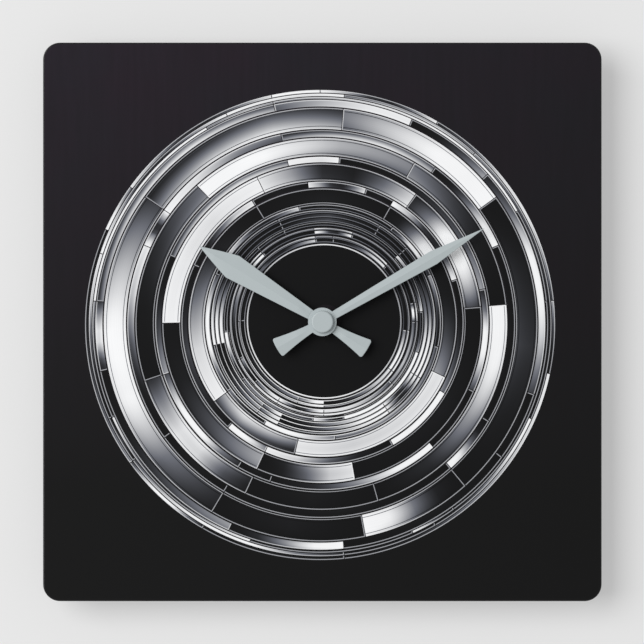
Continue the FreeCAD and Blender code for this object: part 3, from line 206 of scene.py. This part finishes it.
def print_piece(name, plates, material, thickness=PRINT_THICKNESS):
    """One printed layer: its plates, with the tone of each point kept as a colour attribute."""
    parts = ([], [], [])
    for plate in plates:
        add_plate(parts, thickness, *plate)
    verts, faces, tones = parts
    obj = mesh_object(name, verts, faces)
    layer = obj.data.color_attributes.new("tone", "FLOAT_COLOR", "POINT")
    for index, tone in enumerate(tones):
        value = (tone + CONTRAST * (smooth_step(tone) - tone)) ** TONE_GAMMA
        layer.data[index].color = (value, value, value, 1.0)
    obj.data.materials.append(material)
    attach(obj, "clock")
    return obj


def glow(radius, angle):
    """How light the pattern is around a place: each half of the rings has its own light side."""
    mean, swing, side = INNER_GLOW if radius < GLOW_CHANGE_RADIUS else OUTER_GLOW
    return mean + swing * math.cos(math.radians(angle - side))


def ring_segments(index, outer, inner):
    """One ring's segments as start angle, end angle, ramp and bulge, on the grid of minutes."""
    extra = WIDE_EXTRA if outer - inner > WIDE_RING else 0
    start = START_STRIDE * index
    end_of_ring = start + MINUTES
    minute = start
    found = []
    while minute < end_of_ring:
        turn = len(found)
        span = SPANS[(SPAN_STRIDE * index + turn) % len(SPANS)] + extra
        if end_of_ring - minute - span < SHORTEST_SPAN:
            span = end_of_ring - minute
        middle = (minute + span / 2) * MINUTE_ANGLE
        level = glow(outer, middle) + (LEVEL_SWING if turn % 2 else -LEVEL_SWING)
        step = max(0, min(len(LADDER) - 1, int(level * len(LADDER))))
        rung = LADDER[step]
        ramp = RAMPS[rung[(turn + 2 * index) % len(rung)]]
        bulge = BULGES[(turn + index) % len(BULGES)]
        found.append((minute * MINUTE_ANGLE, (minute + span) * MINUTE_ANGLE, ramp, bulge))
        minute += span
    return found


def lit(ramp, gain, floor):
    """A ramp's tones scaled and lifted, for the thin edges and grooves of a segment."""
    return tuple(tuple(min(LIGHTEST_TONE, floor + gain * tone) for tone in side) for side in ramp)


def ring_layers(index, outer, inner):
    """A ring's plates, its bright outer edges and end seams, and the grooves of a wide ring."""
    plates, edges = [], []
    gap = math.degrees(SEGMENT_GAP / 2 / outer)
    seam = math.degrees(EDGE_WIDTH / outer)
    wide = outer - inner > WIDE_RING
    rows = WIDE_ROWS if wide else PLATE_ROWS
    for start, end, ramp, bulge in ring_segments(index, outer, inner):
        low, high = start + gap, end - gap
        plates.append((outer, inner, low, high, ramp, rows, bulge))
        bright = lit(ramp, EDGE_GAIN, EDGE_FLOOR)
        edges.append((outer, outer - EDGE_WIDTH, low, high, (bright[0], bright[0])))
        ends = (bright[0][0], bright[0][0])
        edges.append((outer - EDGE_WIDTH - LINE_GAP, inner, low, low + seam, (ends, ends)))
        after = low + seam + gap / 2
        if wide:
            dark = lit(ramp, GROOVE_GAIN, GROOVE_FLOOR)
            for share in GROOVE_PLACES:
                radius = outer - (outer - inner) * share
                edges.append((radius, radius - GROOVE_WIDTH, after, high, dark))
            edges.append((inner + GROOVE_WIDTH, inner, after, high, (bright[1], bright[1])))
    return plates, edges


# ---- materials ----
BROAD_GRAIN = 25
FINE_SHARE, BROAD_SHARE = 0.6, 0.4
ROUGHNESS_SPREAD = 0.2
GRAIN_DEPTH = 0.0002

TURNED_LINES = 2600.0
TURNED_SPREAD = (0.93, 1.05)
CLOUD_GRAIN = 45.0
CLOUD_SPREAD = (0.92, 1.06)
INK_SHADES = ((0.0, (.0072, .0072, .0076)), (0.16, (.146, .153, .178)), (1.0, (.93, .935, .945)))
INK_ROUGHNESS = 0.42
PRINT_SPECULAR = 0.05

# The print's ground: its own dark colour, and a painted sheen in violet that lightens it towards the top
# and the left, where the light comes from.
GROUND_DARK = (.0087, .0087, .0088)
SHEEN_BLUE, SHEEN_RED = (.0186, .0172, .0228), (.0216, .0154, .0222)
PATCH_GRAIN = 22.0
PATCH_SPREAD = (-0.6, 1.6)
GROUND_ROUGHNESS = 0.40
PAINTED_SHEEN_HEIGHTS = (-0.30, 0.55)
PAINTED_SHEEN_SIDES = (1.83, -0.46)
STREAK_GRAIN = 420.0
STREAK_SPREAD = (0.75, 1.25)
UPRIGHT_STREAKS = (1.0, 1.0, 0.06)

BAND_PLACE = 0.70
BAND_BLUR = 0.0003
WRAPPER_GRAIN = 300.0
WRAPPER_SHADES = ((.40, .41, .43), (.48, .49, .51))
BAND_SHADES = ((.07, .08, .10), (.10, .11, .14))
WRAPPER_ROUGHNESS = 0.28
WRAPPER_COAT = 0.4


def new_material(name):
    material = bpy.data.materials.new(name)
    material.use_nodes = True
    tree = material.node_tree
    tree.nodes.clear()
    shader = tree.nodes.new("ShaderNodeBsdfPrincipled")
    output = tree.nodes.new("ShaderNodeOutputMaterial")
    tree.links.new(shader.outputs[0], output.inputs[0])
    return material, tree, shader


def add(tree, kind, **inputs):
    node = tree.nodes.new(kind)
    for key, value in inputs.items():
        node.inputs[key.replace("_", " ")].default_value = value
    return node


def object_coordinates(tree, stretch=(1.0, 1.0, 1.0)):
    place = tree.nodes.new("ShaderNodeTexCoord")
    mapping = tree.nodes.new("ShaderNodeMapping")
    mapping.inputs["Scale"].default_value = stretch
    tree.links.new(place.outputs["Object"], mapping.inputs["Vector"])
    return mapping.outputs["Vector"]


def spread(tree, source, low, high):
    """Maps a 0 to 1 texture value onto a range."""
    node = tree.nodes.new("ShaderNodeMapRange")
    node.inputs["To Min"].default_value = low
    node.inputs["To Max"].default_value = high
    tree.links.new(source, node.inputs["Value"])
    return node.outputs["Result"]


def shade_mix(tree, share, dark, light):
    node = tree.nodes.new("ShaderNodeMix")
    node.data_type = "RGBA"
    tree.links.new(share, node.inputs["Factor"])
    for socket, value in (("A", dark), ("B", light)):
        target = [s for s in node.inputs if s.name == socket and s.type == "RGBA"][0]
        if hasattr(value, "is_linked"):
            tree.links.new(value, target)
        else:
            target.default_value = (*value, 1.0)
    return [s for s in node.outputs if s.type == "RGBA"][0]


def moulded(name, color, roughness, grain=900.0, variation=0.12, bump=0.04, metallic=0.0,
            stretch=(1.0, 1.0, 1.0), specular=0.5):
    """A surface with fine grain: colour, roughness and height all vary with one noise."""
    material, tree, shader = new_material(name)
    where = object_coordinates(tree, stretch)
    noise = add(tree, "ShaderNodeTexNoise", Scale=grain, Detail=4.0, Roughness=0.6)
    tree.links.new(where, noise.inputs["Vector"])
    broad = add(tree, "ShaderNodeTexNoise", Scale=grain / BROAD_GRAIN, Detail=2.0, Roughness=0.5)
    tree.links.new(where, broad.inputs["Vector"])
    both = tree.nodes.new("ShaderNodeMath")
    both.operation = "ADD"
    tree.links.new(spread(tree, noise.outputs["Fac"], 0.0, FINE_SHARE), both.inputs[0])
    tree.links.new(spread(tree, broad.outputs["Fac"], 0.0, BROAD_SHARE), both.inputs[1])
    dark = [c * (1 - variation) for c in color]
    light = [min(1.0, c * (1 + variation)) for c in color]
    tree.links.new(shade_mix(tree, both.outputs[0], dark, light), shader.inputs["Base Color"])
    smooth, rough = roughness * (1 - ROUGHNESS_SPREAD), min(1.0, roughness * (1 + ROUGHNESS_SPREAD))
    rough = spread(tree, noise.outputs["Fac"], smooth, rough)
    tree.links.new(rough, shader.inputs["Roughness"])
    height = add(tree, "ShaderNodeBump", Strength=bump, Distance=GRAIN_DEPTH)
    tree.links.new(noise.outputs["Fac"], height.inputs["Height"])
    tree.links.new(height.outputs["Normal"], shader.inputs["Normal"])
    shader.inputs["Metallic"].default_value = metallic
    shader.inputs["Specular IOR Level"].default_value = specular
    return material


def print_material():
    """Flat ink: the tone attribute, a cool tint in the mid tones and faint turned lines."""
    material, tree, shader = new_material("ring_print")
    attribute = tree.nodes.new("ShaderNodeAttribute")
    attribute.attribute_name = "tone"
    where = object_coordinates(tree, (1.0, 0.0, 1.0))
    length = tree.nodes.new("ShaderNodeVectorMath")
    length.operation = "LENGTH"
    tree.links.new(where, length.inputs[0])
    lines = tree.nodes.new("ShaderNodeTexNoise")
    lines.noise_dimensions = "1D"
    lines.inputs["Scale"].default_value = TURNED_LINES
    lines.inputs["Detail"].default_value = 3.0
    tree.links.new(length.outputs["Value"], lines.inputs["W"])
    cloud = add(tree, "ShaderNodeTexNoise", Scale=CLOUD_GRAIN, Detail=2.0)
    tree.links.new(where, cloud.inputs["Vector"])
    factor = tree.nodes.new("ShaderNodeMath")
    factor.operation = "MULTIPLY"
    tree.links.new(spread(tree, lines.outputs["Fac"], *TURNED_SPREAD), factor.inputs[0])
    tree.links.new(spread(tree, cloud.outputs["Fac"], *CLOUD_SPREAD), factor.inputs[1])
    scaled = tree.nodes.new("ShaderNodeMath")
    scaled.operation = "MULTIPLY"
    scaled.use_clamp = True
    tree.links.new(attribute.outputs["Fac"], scaled.inputs[0])
    tree.links.new(factor.outputs[0], scaled.inputs[1])
    ramp = tree.nodes.new("ShaderNodeValToRGB")
    tree.links.new(scaled.outputs[0], ramp.inputs["Fac"])
    ramp.color_ramp.elements.new(INK_SHADES[1][0])
    for stop, (place, shade) in zip(ramp.color_ramp.elements, INK_SHADES):
        stop.position = place
        stop.color = (*shade, 1.0)
    tree.links.new(ramp.outputs["Color"], shader.inputs["Base Color"])
    shader.inputs["Roughness"].default_value = INK_ROUGHNESS
    shader.inputs["Specular IOR Level"].default_value = PRINT_SPECULAR
    return material


def film_material():
    """The black ground of the print, with fine streaks, and a painted sheen: faintly violet and lighter
    towards the top and the left, where the light comes from.
    """
    material, tree, shader = new_material("print_ground")
    place = tree.nodes.new("ShaderNodeTexCoord")
    split = tree.nodes.new("ShaderNodeSeparateXYZ")
    tree.links.new(place.outputs["Object"], split.inputs[0])
    # Painted sheen: the ground grows lighter towards the top, and also towards the left.
    height = tree.nodes.new("ShaderNodeMapRange")
    height.inputs["From Min"].default_value = PANEL_WIDTH * PAINTED_SHEEN_HEIGHTS[0]
    height.inputs["From Max"].default_value = PANEL_WIDTH * PAINTED_SHEEN_HEIGHTS[1]
    tree.links.new(split.outputs["Z"], height.inputs["Value"])
    side = tree.nodes.new("ShaderNodeMapRange")
    side.inputs["From Min"].default_value = PANEL_WIDTH * PAINTED_SHEEN_SIDES[0]
    side.inputs["From Max"].default_value = PANEL_WIDTH * PAINTED_SHEEN_SIDES[1]
    tree.links.new(split.outputs["X"], side.inputs["Value"])
    share = tree.nodes.new("ShaderNodeMath")
    share.operation = "MULTIPLY"
    tree.links.new(height.outputs["Result"], share.inputs[0])
    tree.links.new(side.outputs["Result"], share.inputs[1])
    streaks = add(tree, "ShaderNodeTexNoise", Scale=STREAK_GRAIN, Detail=3.0)
    tree.links.new(object_coordinates(tree, UPRIGHT_STREAKS), streaks.inputs["Vector"])
    # The painted sheen, broken by the streaks, mixes the dark ground towards the violet.
    painted_sheen = tree.nodes.new("ShaderNodeMath")
    painted_sheen.operation = "MULTIPLY"
    tree.links.new(share.outputs[0], painted_sheen.inputs[0])
    tree.links.new(spread(tree, streaks.outputs["Fac"], *STREAK_SPREAD), painted_sheen.inputs[1])
    patches = add(tree, "ShaderNodeTexNoise", Scale=PATCH_GRAIN, Detail=3.0)
    tree.links.new(place.outputs["Object"], patches.inputs["Vector"])
    share_of_red = spread(tree, patches.outputs["Fac"], *PATCH_SPREAD)
    sheen_tint = shade_mix(tree, share_of_red, SHEEN_BLUE, SHEEN_RED)
    ground = shade_mix(tree, painted_sheen.outputs[0], GROUND_DARK, sheen_tint)
    tree.links.new(ground, shader.inputs["Base Color"])
    shader.inputs["Roughness"].default_value = GROUND_ROUGHNESS
    shader.inputs["Specular IOR Level"].default_value = PRINT_SPECULAR
    return material


def brushed(name, color, roughness, stretch, grain=1500.0):
    return moulded(name, color, roughness, grain=grain, variation=0.10, bump=0.06, metallic=1.0,
                   stretch=stretch)


def sleeve_material():
    """The cell's plain wrapper: light grey, with a darker band at the positive end."""
    material, tree, shader = new_material("cell_wrapper")
    low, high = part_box("battery_sleeve")
    place = tree.nodes.new("ShaderNodeTexCoord")
    split = tree.nodes.new("ShaderNodeSeparateXYZ")
    tree.links.new(place.outputs["Object"], split.inputs[0])
    edge = low.x + (high.x - low.x) * BAND_PLACE
    step = tree.nodes.new("ShaderNodeMapRange")
    step.inputs["From Min"].default_value = edge
    step.inputs["From Max"].default_value = edge + BAND_BLUR
    tree.links.new(split.outputs["X"], step.inputs["Value"])
    noise = add(tree, "ShaderNodeTexNoise", Scale=WRAPPER_GRAIN, Detail=2.0)
    tree.links.new(place.outputs["Object"], noise.inputs["Vector"])
    body = shade_mix(tree, noise.outputs["Fac"], *WRAPPER_SHADES)
    band = shade_mix(tree, noise.outputs["Fac"], *BAND_SHADES)
    tree.links.new(shade_mix(tree, step.outputs["Result"], body, band), shader.inputs["Base Color"])
    shader.inputs["Roughness"].default_value = WRAPPER_ROUGHNESS
    shader.inputs["Coat Weight"].default_value = WRAPPER_COAT
    return material


ALONG_X = (0.03, 1.0, 1.0)
ALONG_Z = (1.0, 1.0, 0.03)
hand_paint = moulded("hand_paint", (.42, .47, .48), 0.42, grain=1400.0, variation=0.03, bump=0.02)
FINISHES = {
    "panel": moulded("black_acrylic", (.011, .011, .012), 0.14, grain=250.0, variation=0.25, bump=0.004,
                     specular=0.3),
    "print": film_material(),
    "hand_paint": hand_paint,
    "brass": moulded("turned_brass", (.70, .54, .31), 0.36, grain=2200.0, metallic=1.0, bump=0.03),
    "steel": brushed("zinc_plate", (.62, .63, .65), 0.30, ALONG_Z),
    "spring_steel": brushed("nickel_plate", (.70, .69, .66), 0.24, ALONG_X),
    "rubber": moulded("washer_rubber", (.022, .022, .022), 0.75, grain=1200.0, bump=0.2),
    "case_plastic": moulded("case_plastic", (.024, .024, .026), 0.46, grain=2400.0, variation=0.2,
                            bump=0.35),
    "gear_plastic": moulded("white_acetal", (.76, .75, .70), 0.38, grain=500.0, variation=0.04),
    "gear_plastic_dark": moulded("dark_acetal", (.09, .09, .10), 0.40, grain=700.0, variation=0.1),
    "magnet": moulded("magnet", (.13, .13, .135), 0.35, grain=1500.0, metallic=0.6, bump=0.1),
    "copper": moulded("copper_wire", (.70, .27, .11), 0.25, grain=2600.0, metallic=1.0, bump=0.5,
                      stretch=(3.0, 0.2, 0.2)),
    "core_steel": brushed("core_steel", (.45, .46, .48), 0.38, ALONG_X),
    "board": moulded("board_resist", (.05, .16, .06), 0.35, grain=350.0, variation=0.15, bump=0.1),
    "epoxy": moulded("black_epoxy", (.012, .012, .012), 0.18, grain=200.0, variation=0.2),
    "bobbin": moulded("nylon", (.68, .66, .60), 0.42, grain=500.0, variation=0.05),
    "cell_can": moulded("cell_can", (.72, .72, .71), 0.22, grain=900.0, metallic=1.0, bump=0.02),
    "cell_core": moulded("cell_core", (.03, .03, .03), 0.8, grain=600.0, bump=0.3),
    "cell_sleeve": sleeve_material(),
}
slot_of = {part["node"]: part["material_slot"] for part in frame["record"]["subparts"]}
for name, obj in nodes.items():
    obj.data.materials.clear()
    obj.data.materials.append(FINISHES[slot_of[name]])


# ---- the printed rings ----
def build_print():
    ink = print_material()
    for index, (outer, inner) in enumerate(RINGS):
        plates, edges = ring_layers(index, outer, inner)
        print_piece(f"print_ring_{index + 1:02d}", plates, ink)
        print_piece(f"print_edges_{index + 1:02d}", edges, ink, EDGE_THICKNESS)
    fine = [DISC_RADIUS + FINE_START + FINE_PITCH * k for k in range(FINE_COUNT)]
    bright = [(r + GROOVE_WIDTH, r, 0, FULL_TURN, (FINE_TONES, FINE_TONES)) for r in fine]
    dark = [(r, r - FINE_GAP, 0, FULL_TURN, BLACK) for r in fine]
    print_piece("print_fine_rings", bright, ink, FINE_THICKNESS)
    print_piece("print_fine_gaps", dark, ink, FINE_THICKNESS)
    rim = (DISC_RADIUS + RIM_WIDTH, DISC_RADIUS, 0, FULL_TURN, (RIM_TONES, RIM_TONES))
    print_piece("print_disc_rim", [rim], ink, FINE_THICKNESS)
    print_piece("print_centre_disc", [(DISC_RADIUS, DISC_HOLE, 0, FULL_TURN, BLACK)], ink)


build_print()


# ---- hands ----
HAND_CHAMFER = 0.14
CHAMFER_SHARE = 0.45
TIP_HALF = 0.02
RIDGE_RUN = 7.0
RIDGE_START = 0.5
RIDGE_FULL_HALF = 3.0
STATION_STEP = 0.3
CLOSEST_STATIONS = 0.003
TAIL_CORNER = 1.0
FLARE_POWER = 1.8
FLARE_SLANT = 1.03
CORNER_PASSES = 4
TAIL_END_STEP = 0.55
TAIL_END_STATIONS = range(1, 9)
TAIL_TIP = 0.002
BLADE_TIP = 0.05
CORNER_ANGLES = range(0, 80, 8)
HUB_ANGLES = range(4, 90, 4)
HOLE_SIDES = 48
DRILL_PAST = 2


def flare_half(back, hand):
    """Half the width of a tail's hollow sides, at a distance behind the axis."""
    corner = math.sqrt(hand["tail"] ** 2 - hand["tail_half"] ** 2)
    share = min(1.0, back / corner)
    return hand["tail_root"] + (hand["tail_half"] - hand["tail_root"]) * share ** FLARE_POWER


def tail_corner(hand):
    """The centre of the small arc at a tail's corner, which touches both its side and its end."""
    reach = hand["tail"] - TAIL_CORNER
    for _ in range(CORNER_PASSES):
        half = flare_half(reach, hand) - TAIL_CORNER * FLARE_SLANT
        reach = math.sqrt((hand["tail"] - TAIL_CORNER) ** 2 - half ** 2)
    return reach, half


def tail_width(back, hand):
    """Half the width of a tail: its hollow side, its rounded corner, then its curved end."""
    corner, half = tail_corner(hand)
    if back * (hand["tail"] - TAIL_CORNER) > corner * hand["tail"]:
        return math.sqrt(max(0.0, hand["tail"] ** 2 - back ** 2))
    flare = flare_half(back, hand)
    if back > corner:
        return min(flare, half + math.sqrt(max(0.0, TAIL_CORNER ** 2 - (back - corner) ** 2)))
    return flare


def half_width(reach, hand):
    """Half the width of a hand's outline at a distance along it; the tail is negative."""
    length, shoulder, widest, hub = hand["length"], hand["shoulder"], hand["widest"], hand["hub"]
    if reach > shoulder:
        share = (length - reach) / (length - shoulder)
        blade = widest * share * (1 + hand["belly"] * (1 - share))
    elif reach >= 0:
        blade = hand["root"] + (widest - hand["root"]) * reach / shoulder
    else:
        blade = tail_width(-reach, hand)
    disc = math.sqrt(max(0.0, hub ** 2 - reach ** 2))
    return max(blade, disc)


def stations(hand):
    """Distances along the hand, close together where the outline turns quickly."""
    start, end = -hand["tail"], hand["length"]
    count = round((end - start) / STATION_STEP)
    even = [start + (end - start) * k / count for k in range(1, count)]
    corner = tail_corner(hand)[0]
    ends = [start + TAIL_TIP, end - BLADE_TIP]
    ends += [-math.sqrt(start ** 2 - (TAIL_END_STEP * k) ** 2) for k in TAIL_END_STATIONS]
    ends += [-corner - TAIL_CORNER * math.sin(math.radians(a)) for a in CORNER_ANGLES]
    hub = [side * hand["hub"] * math.cos(math.radians(a)) for a in HUB_ANGLES for side in (-1, 1)]
    kept = [min(ends)]
    for reach in sorted(even + ends + hub + [hand["shoulder"]]):
        if reach - kept[-1] > CLOSEST_STATIONS:
            kept.append(reach)
    return kept


def build_hand(name, node, hand, body):
    """Lofts a creased hand over the flat CAD one, and cuts the hole for its arbor."""
    low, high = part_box(node)
    front, back = low.y / MM, high.y / MM
    turn = math.radians(hand["angle"])
    along = Vector((math.sin(turn), 0, math.cos(turn)))
    across = Vector((math.cos(turn), 0, -math.sin(turn)))
    verts, faces = [], []
    for reach in stations(hand):
        half = max(TIP_HALF, half_width(reach, hand))
        chamfer = min(HAND_CHAMFER, half * CHAMFER_SHARE)
        past_hub = (abs(reach) - hand["hub"] - RIDGE_START) / RIDGE_RUN
        rise = hand["ridge"] * min(1.0, half / RIDGE_FULL_HALF) * smooth_step(past_hub)
        section = (
            (-half, back), (-half, front + chamfer), (-half + chamfer, front), (0.0, front - rise),
            (half - chamfer, front), (half, front + chamfer), (half, back),
        )
        for side, y in section:
            point = along * reach + across * side
            verts.append((point.x, y, point.z))
    ring = len(section)
    count = len(verts) // ring
    for k in range(count - 1):
        for j in range(ring):
            a, b = k * ring + j, k * ring + (j + 1) % ring
            faces.append((a, b, b + ring, a + ring))
    faces.append(tuple(range(ring)))
    faces.append(tuple(range((count - 1) * ring, count * ring)))
    obj = mesh_object(name, verts, faces)
    drill(obj, hand["hole"], front - DRILL_PAST, back + DRILL_PAST)
    obj.data.materials.clear()
    obj.data.materials.append(hand_paint)
    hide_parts(node)
    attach(obj, body)
    return obj


def drill(obj, radius, front, back, sides=HOLE_SIDES):
    """Cuts a round hole on the hand axis with a boolean, and removes the cutter."""
    verts = []
    for y in (front, back):
        for k in range(sides):
            turn = 2 * math.pi * (k + 0.5) / sides
            verts.append((radius * math.cos(turn), y, radius * math.sin(turn)))
    faces = [tuple(range(sides)), tuple(range(2 * sides - 1, sides - 1, -1))]
    faces += [(k, (k + 1) % sides, sides + (k + 1) % sides, sides + k) for k in range(sides)]
    cutter = mesh_object("cutter", verts, faces)
    modifier = obj.modifiers.new("hole", "BOOLEAN")
    modifier.object = cutter
    modifier.operation = "DIFFERENCE"
    modifier.solver = "EXACT"
    evaluated = obj.evaluated_get(bpy.context.evaluated_depsgraph_get())
    mesh = bpy.data.meshes.new_from_object(evaluated)
    obj.modifiers.clear()
    obj.data = mesh
    bpy.data.objects.remove(cutter)


TAIL = {"tail": 25.7, "tail_half": 5.0, "tail_root": 1.9}
build_hand("minute_hand_creased", "minute_hand", dict(
    TAIL, angle=60.0, length=91.6, shoulder=62.5, widest=3.5, root=1.8, hub=6.95, belly=0.0, hole=1.63,
    ridge=0.28,
), "minute")
build_hand("hour_hand_creased", "hour_hand", dict(
    TAIL, angle=-58.4, length=70.4, shoulder=51.4, widest=6.2, root=1.9, hub=6.3, belly=0.12, hole=3.25,
    ridge=0.50,
), "hour")

# ---- stage: wall, light and camera ----
WALL_HALF = 1.2
WALL_OFFSET = 0.0004
WALL_SHADE = (.45, .45, .45, 1.0)
WALL_LIFT = 0.35
WALL_ROUGHNESS = 0.95
WHITE = (1.0, 1.0, 1.0, 1.0)
AMBIENT, SEEN = 0.42, 0.80
CAMERA_DISTANCE = 2.0
SENSOR_WIDTH = 36.0
CLIP_START = 0.05
# Name, place, size and energy.
LIGHTS = (("key", (-2.4, -3.4, 0.8), 3.0, 149.0), ("back_fill", (0.7, 1.3, 0.8), 1.0, 26.0))


def wall_material():
    """Pale matt paint, lifted a little. Its back is clear, so that the clock shows from behind."""
    material, tree, shader = new_material("wall_paint")
    shader.inputs["Base Color"].default_value = WALL_SHADE
    shader.inputs["Emission Color"].default_value = WHITE
    shader.inputs["Emission Strength"].default_value = WALL_LIFT
    shader.inputs["Roughness"].default_value = WALL_ROUGHNESS
    shader.inputs["Specular IOR Level"].default_value = 0.0
    clear = tree.nodes.new("ShaderNodeBsdfTransparent")
    side = tree.nodes.new("ShaderNodeNewGeometry")
    mix = tree.nodes.new("ShaderNodeMixShader")
    output = [n for n in tree.nodes if n.type == "OUTPUT_MATERIAL"][0]
    tree.links.new(side.outputs["Backfacing"], mix.inputs[0])
    tree.links.new(shader.outputs[0], mix.inputs[1])
    tree.links.new(clear.outputs[0], mix.inputs[2])
    tree.links.new(mix.outputs[0], output.inputs[0])
    return material


def build_wall():
    y = WALL_OFFSET
    corners = [(-1, -1), (1, -1), (1, 1), (-1, 1)]
    mesh = bpy.data.meshes.new("wall")
    mesh.from_pydata([(x * WALL_HALF, y, z * WALL_HALF) for x, z in corners], [], [(0, 1, 2, 3)])
    wall = bpy.data.objects.new("wall", mesh)
    bpy.context.scene.collection.objects.link(wall)
    mesh.materials.append(wall_material())
    wall.visible_shadow = False


def area_light(name, place, size, energy):
    light = bpy.data.lights.new(name, "AREA")
    light.size = size
    light.energy = energy
    obj = bpy.data.objects.new(name, light)
    bpy.context.scene.collection.objects.link(obj)
    obj.location = place
    obj.rotation_euler = (-Vector(place)).to_track_quat("-Z", "Y").to_euler()


def build_world(ambient, seen):
    world = bpy.data.worlds.new("studio")
    bpy.context.scene.world = world
    world.use_nodes = True
    tree = world.node_tree
    tree.nodes.clear()
    output = tree.nodes.new("ShaderNodeOutputWorld")
    path = tree.nodes.new("ShaderNodeLightPath")
    mix = tree.nodes.new("ShaderNodeMixShader")
    for index, level in ((1, ambient), (2, seen)):
        background = tree.nodes.new("ShaderNodeBackground")
        background.inputs["Color"].default_value = WHITE
        background.inputs["Strength"].default_value = level
        tree.links.new(background.outputs[0], mix.inputs[index])
    tree.links.new(path.outputs["Is Camera Ray"], mix.inputs[0])
    tree.links.new(mix.outputs[0], output.inputs[0])


# The panel fills this share of the frame and stands a hair off its middle.
PANEL_SHARE = 0.8676
CAMERA_X, CAMERA_Z = -0.00016, -0.00005


def build_camera():
    """A long lens straight in front of the dial."""
    view_width = PANEL_WIDTH / PANEL_SHARE
    camera = bpy.data.cameras.new("camera")
    camera.sensor_width = SENSOR_WIDTH
    camera.lens = SENSOR_WIDTH * CAMERA_DISTANCE / view_width
    camera.clip_start = CLIP_START
    obj = bpy.data.objects.new("camera", camera)
    bpy.context.scene.collection.objects.link(obj)
    obj.location = (CAMERA_X, FILM_FRONT - CAMERA_DISTANCE, CAMERA_Z)
    obj.rotation_euler = (math.radians(90), 0, 0)
    bpy.context.scene.camera = obj


build_wall()
build_world(AMBIENT, SEEN)
for light in LIGHTS:
    area_light(*light)
build_camera()
bpy.context.scene.view_settings.view_transform = "Standard"
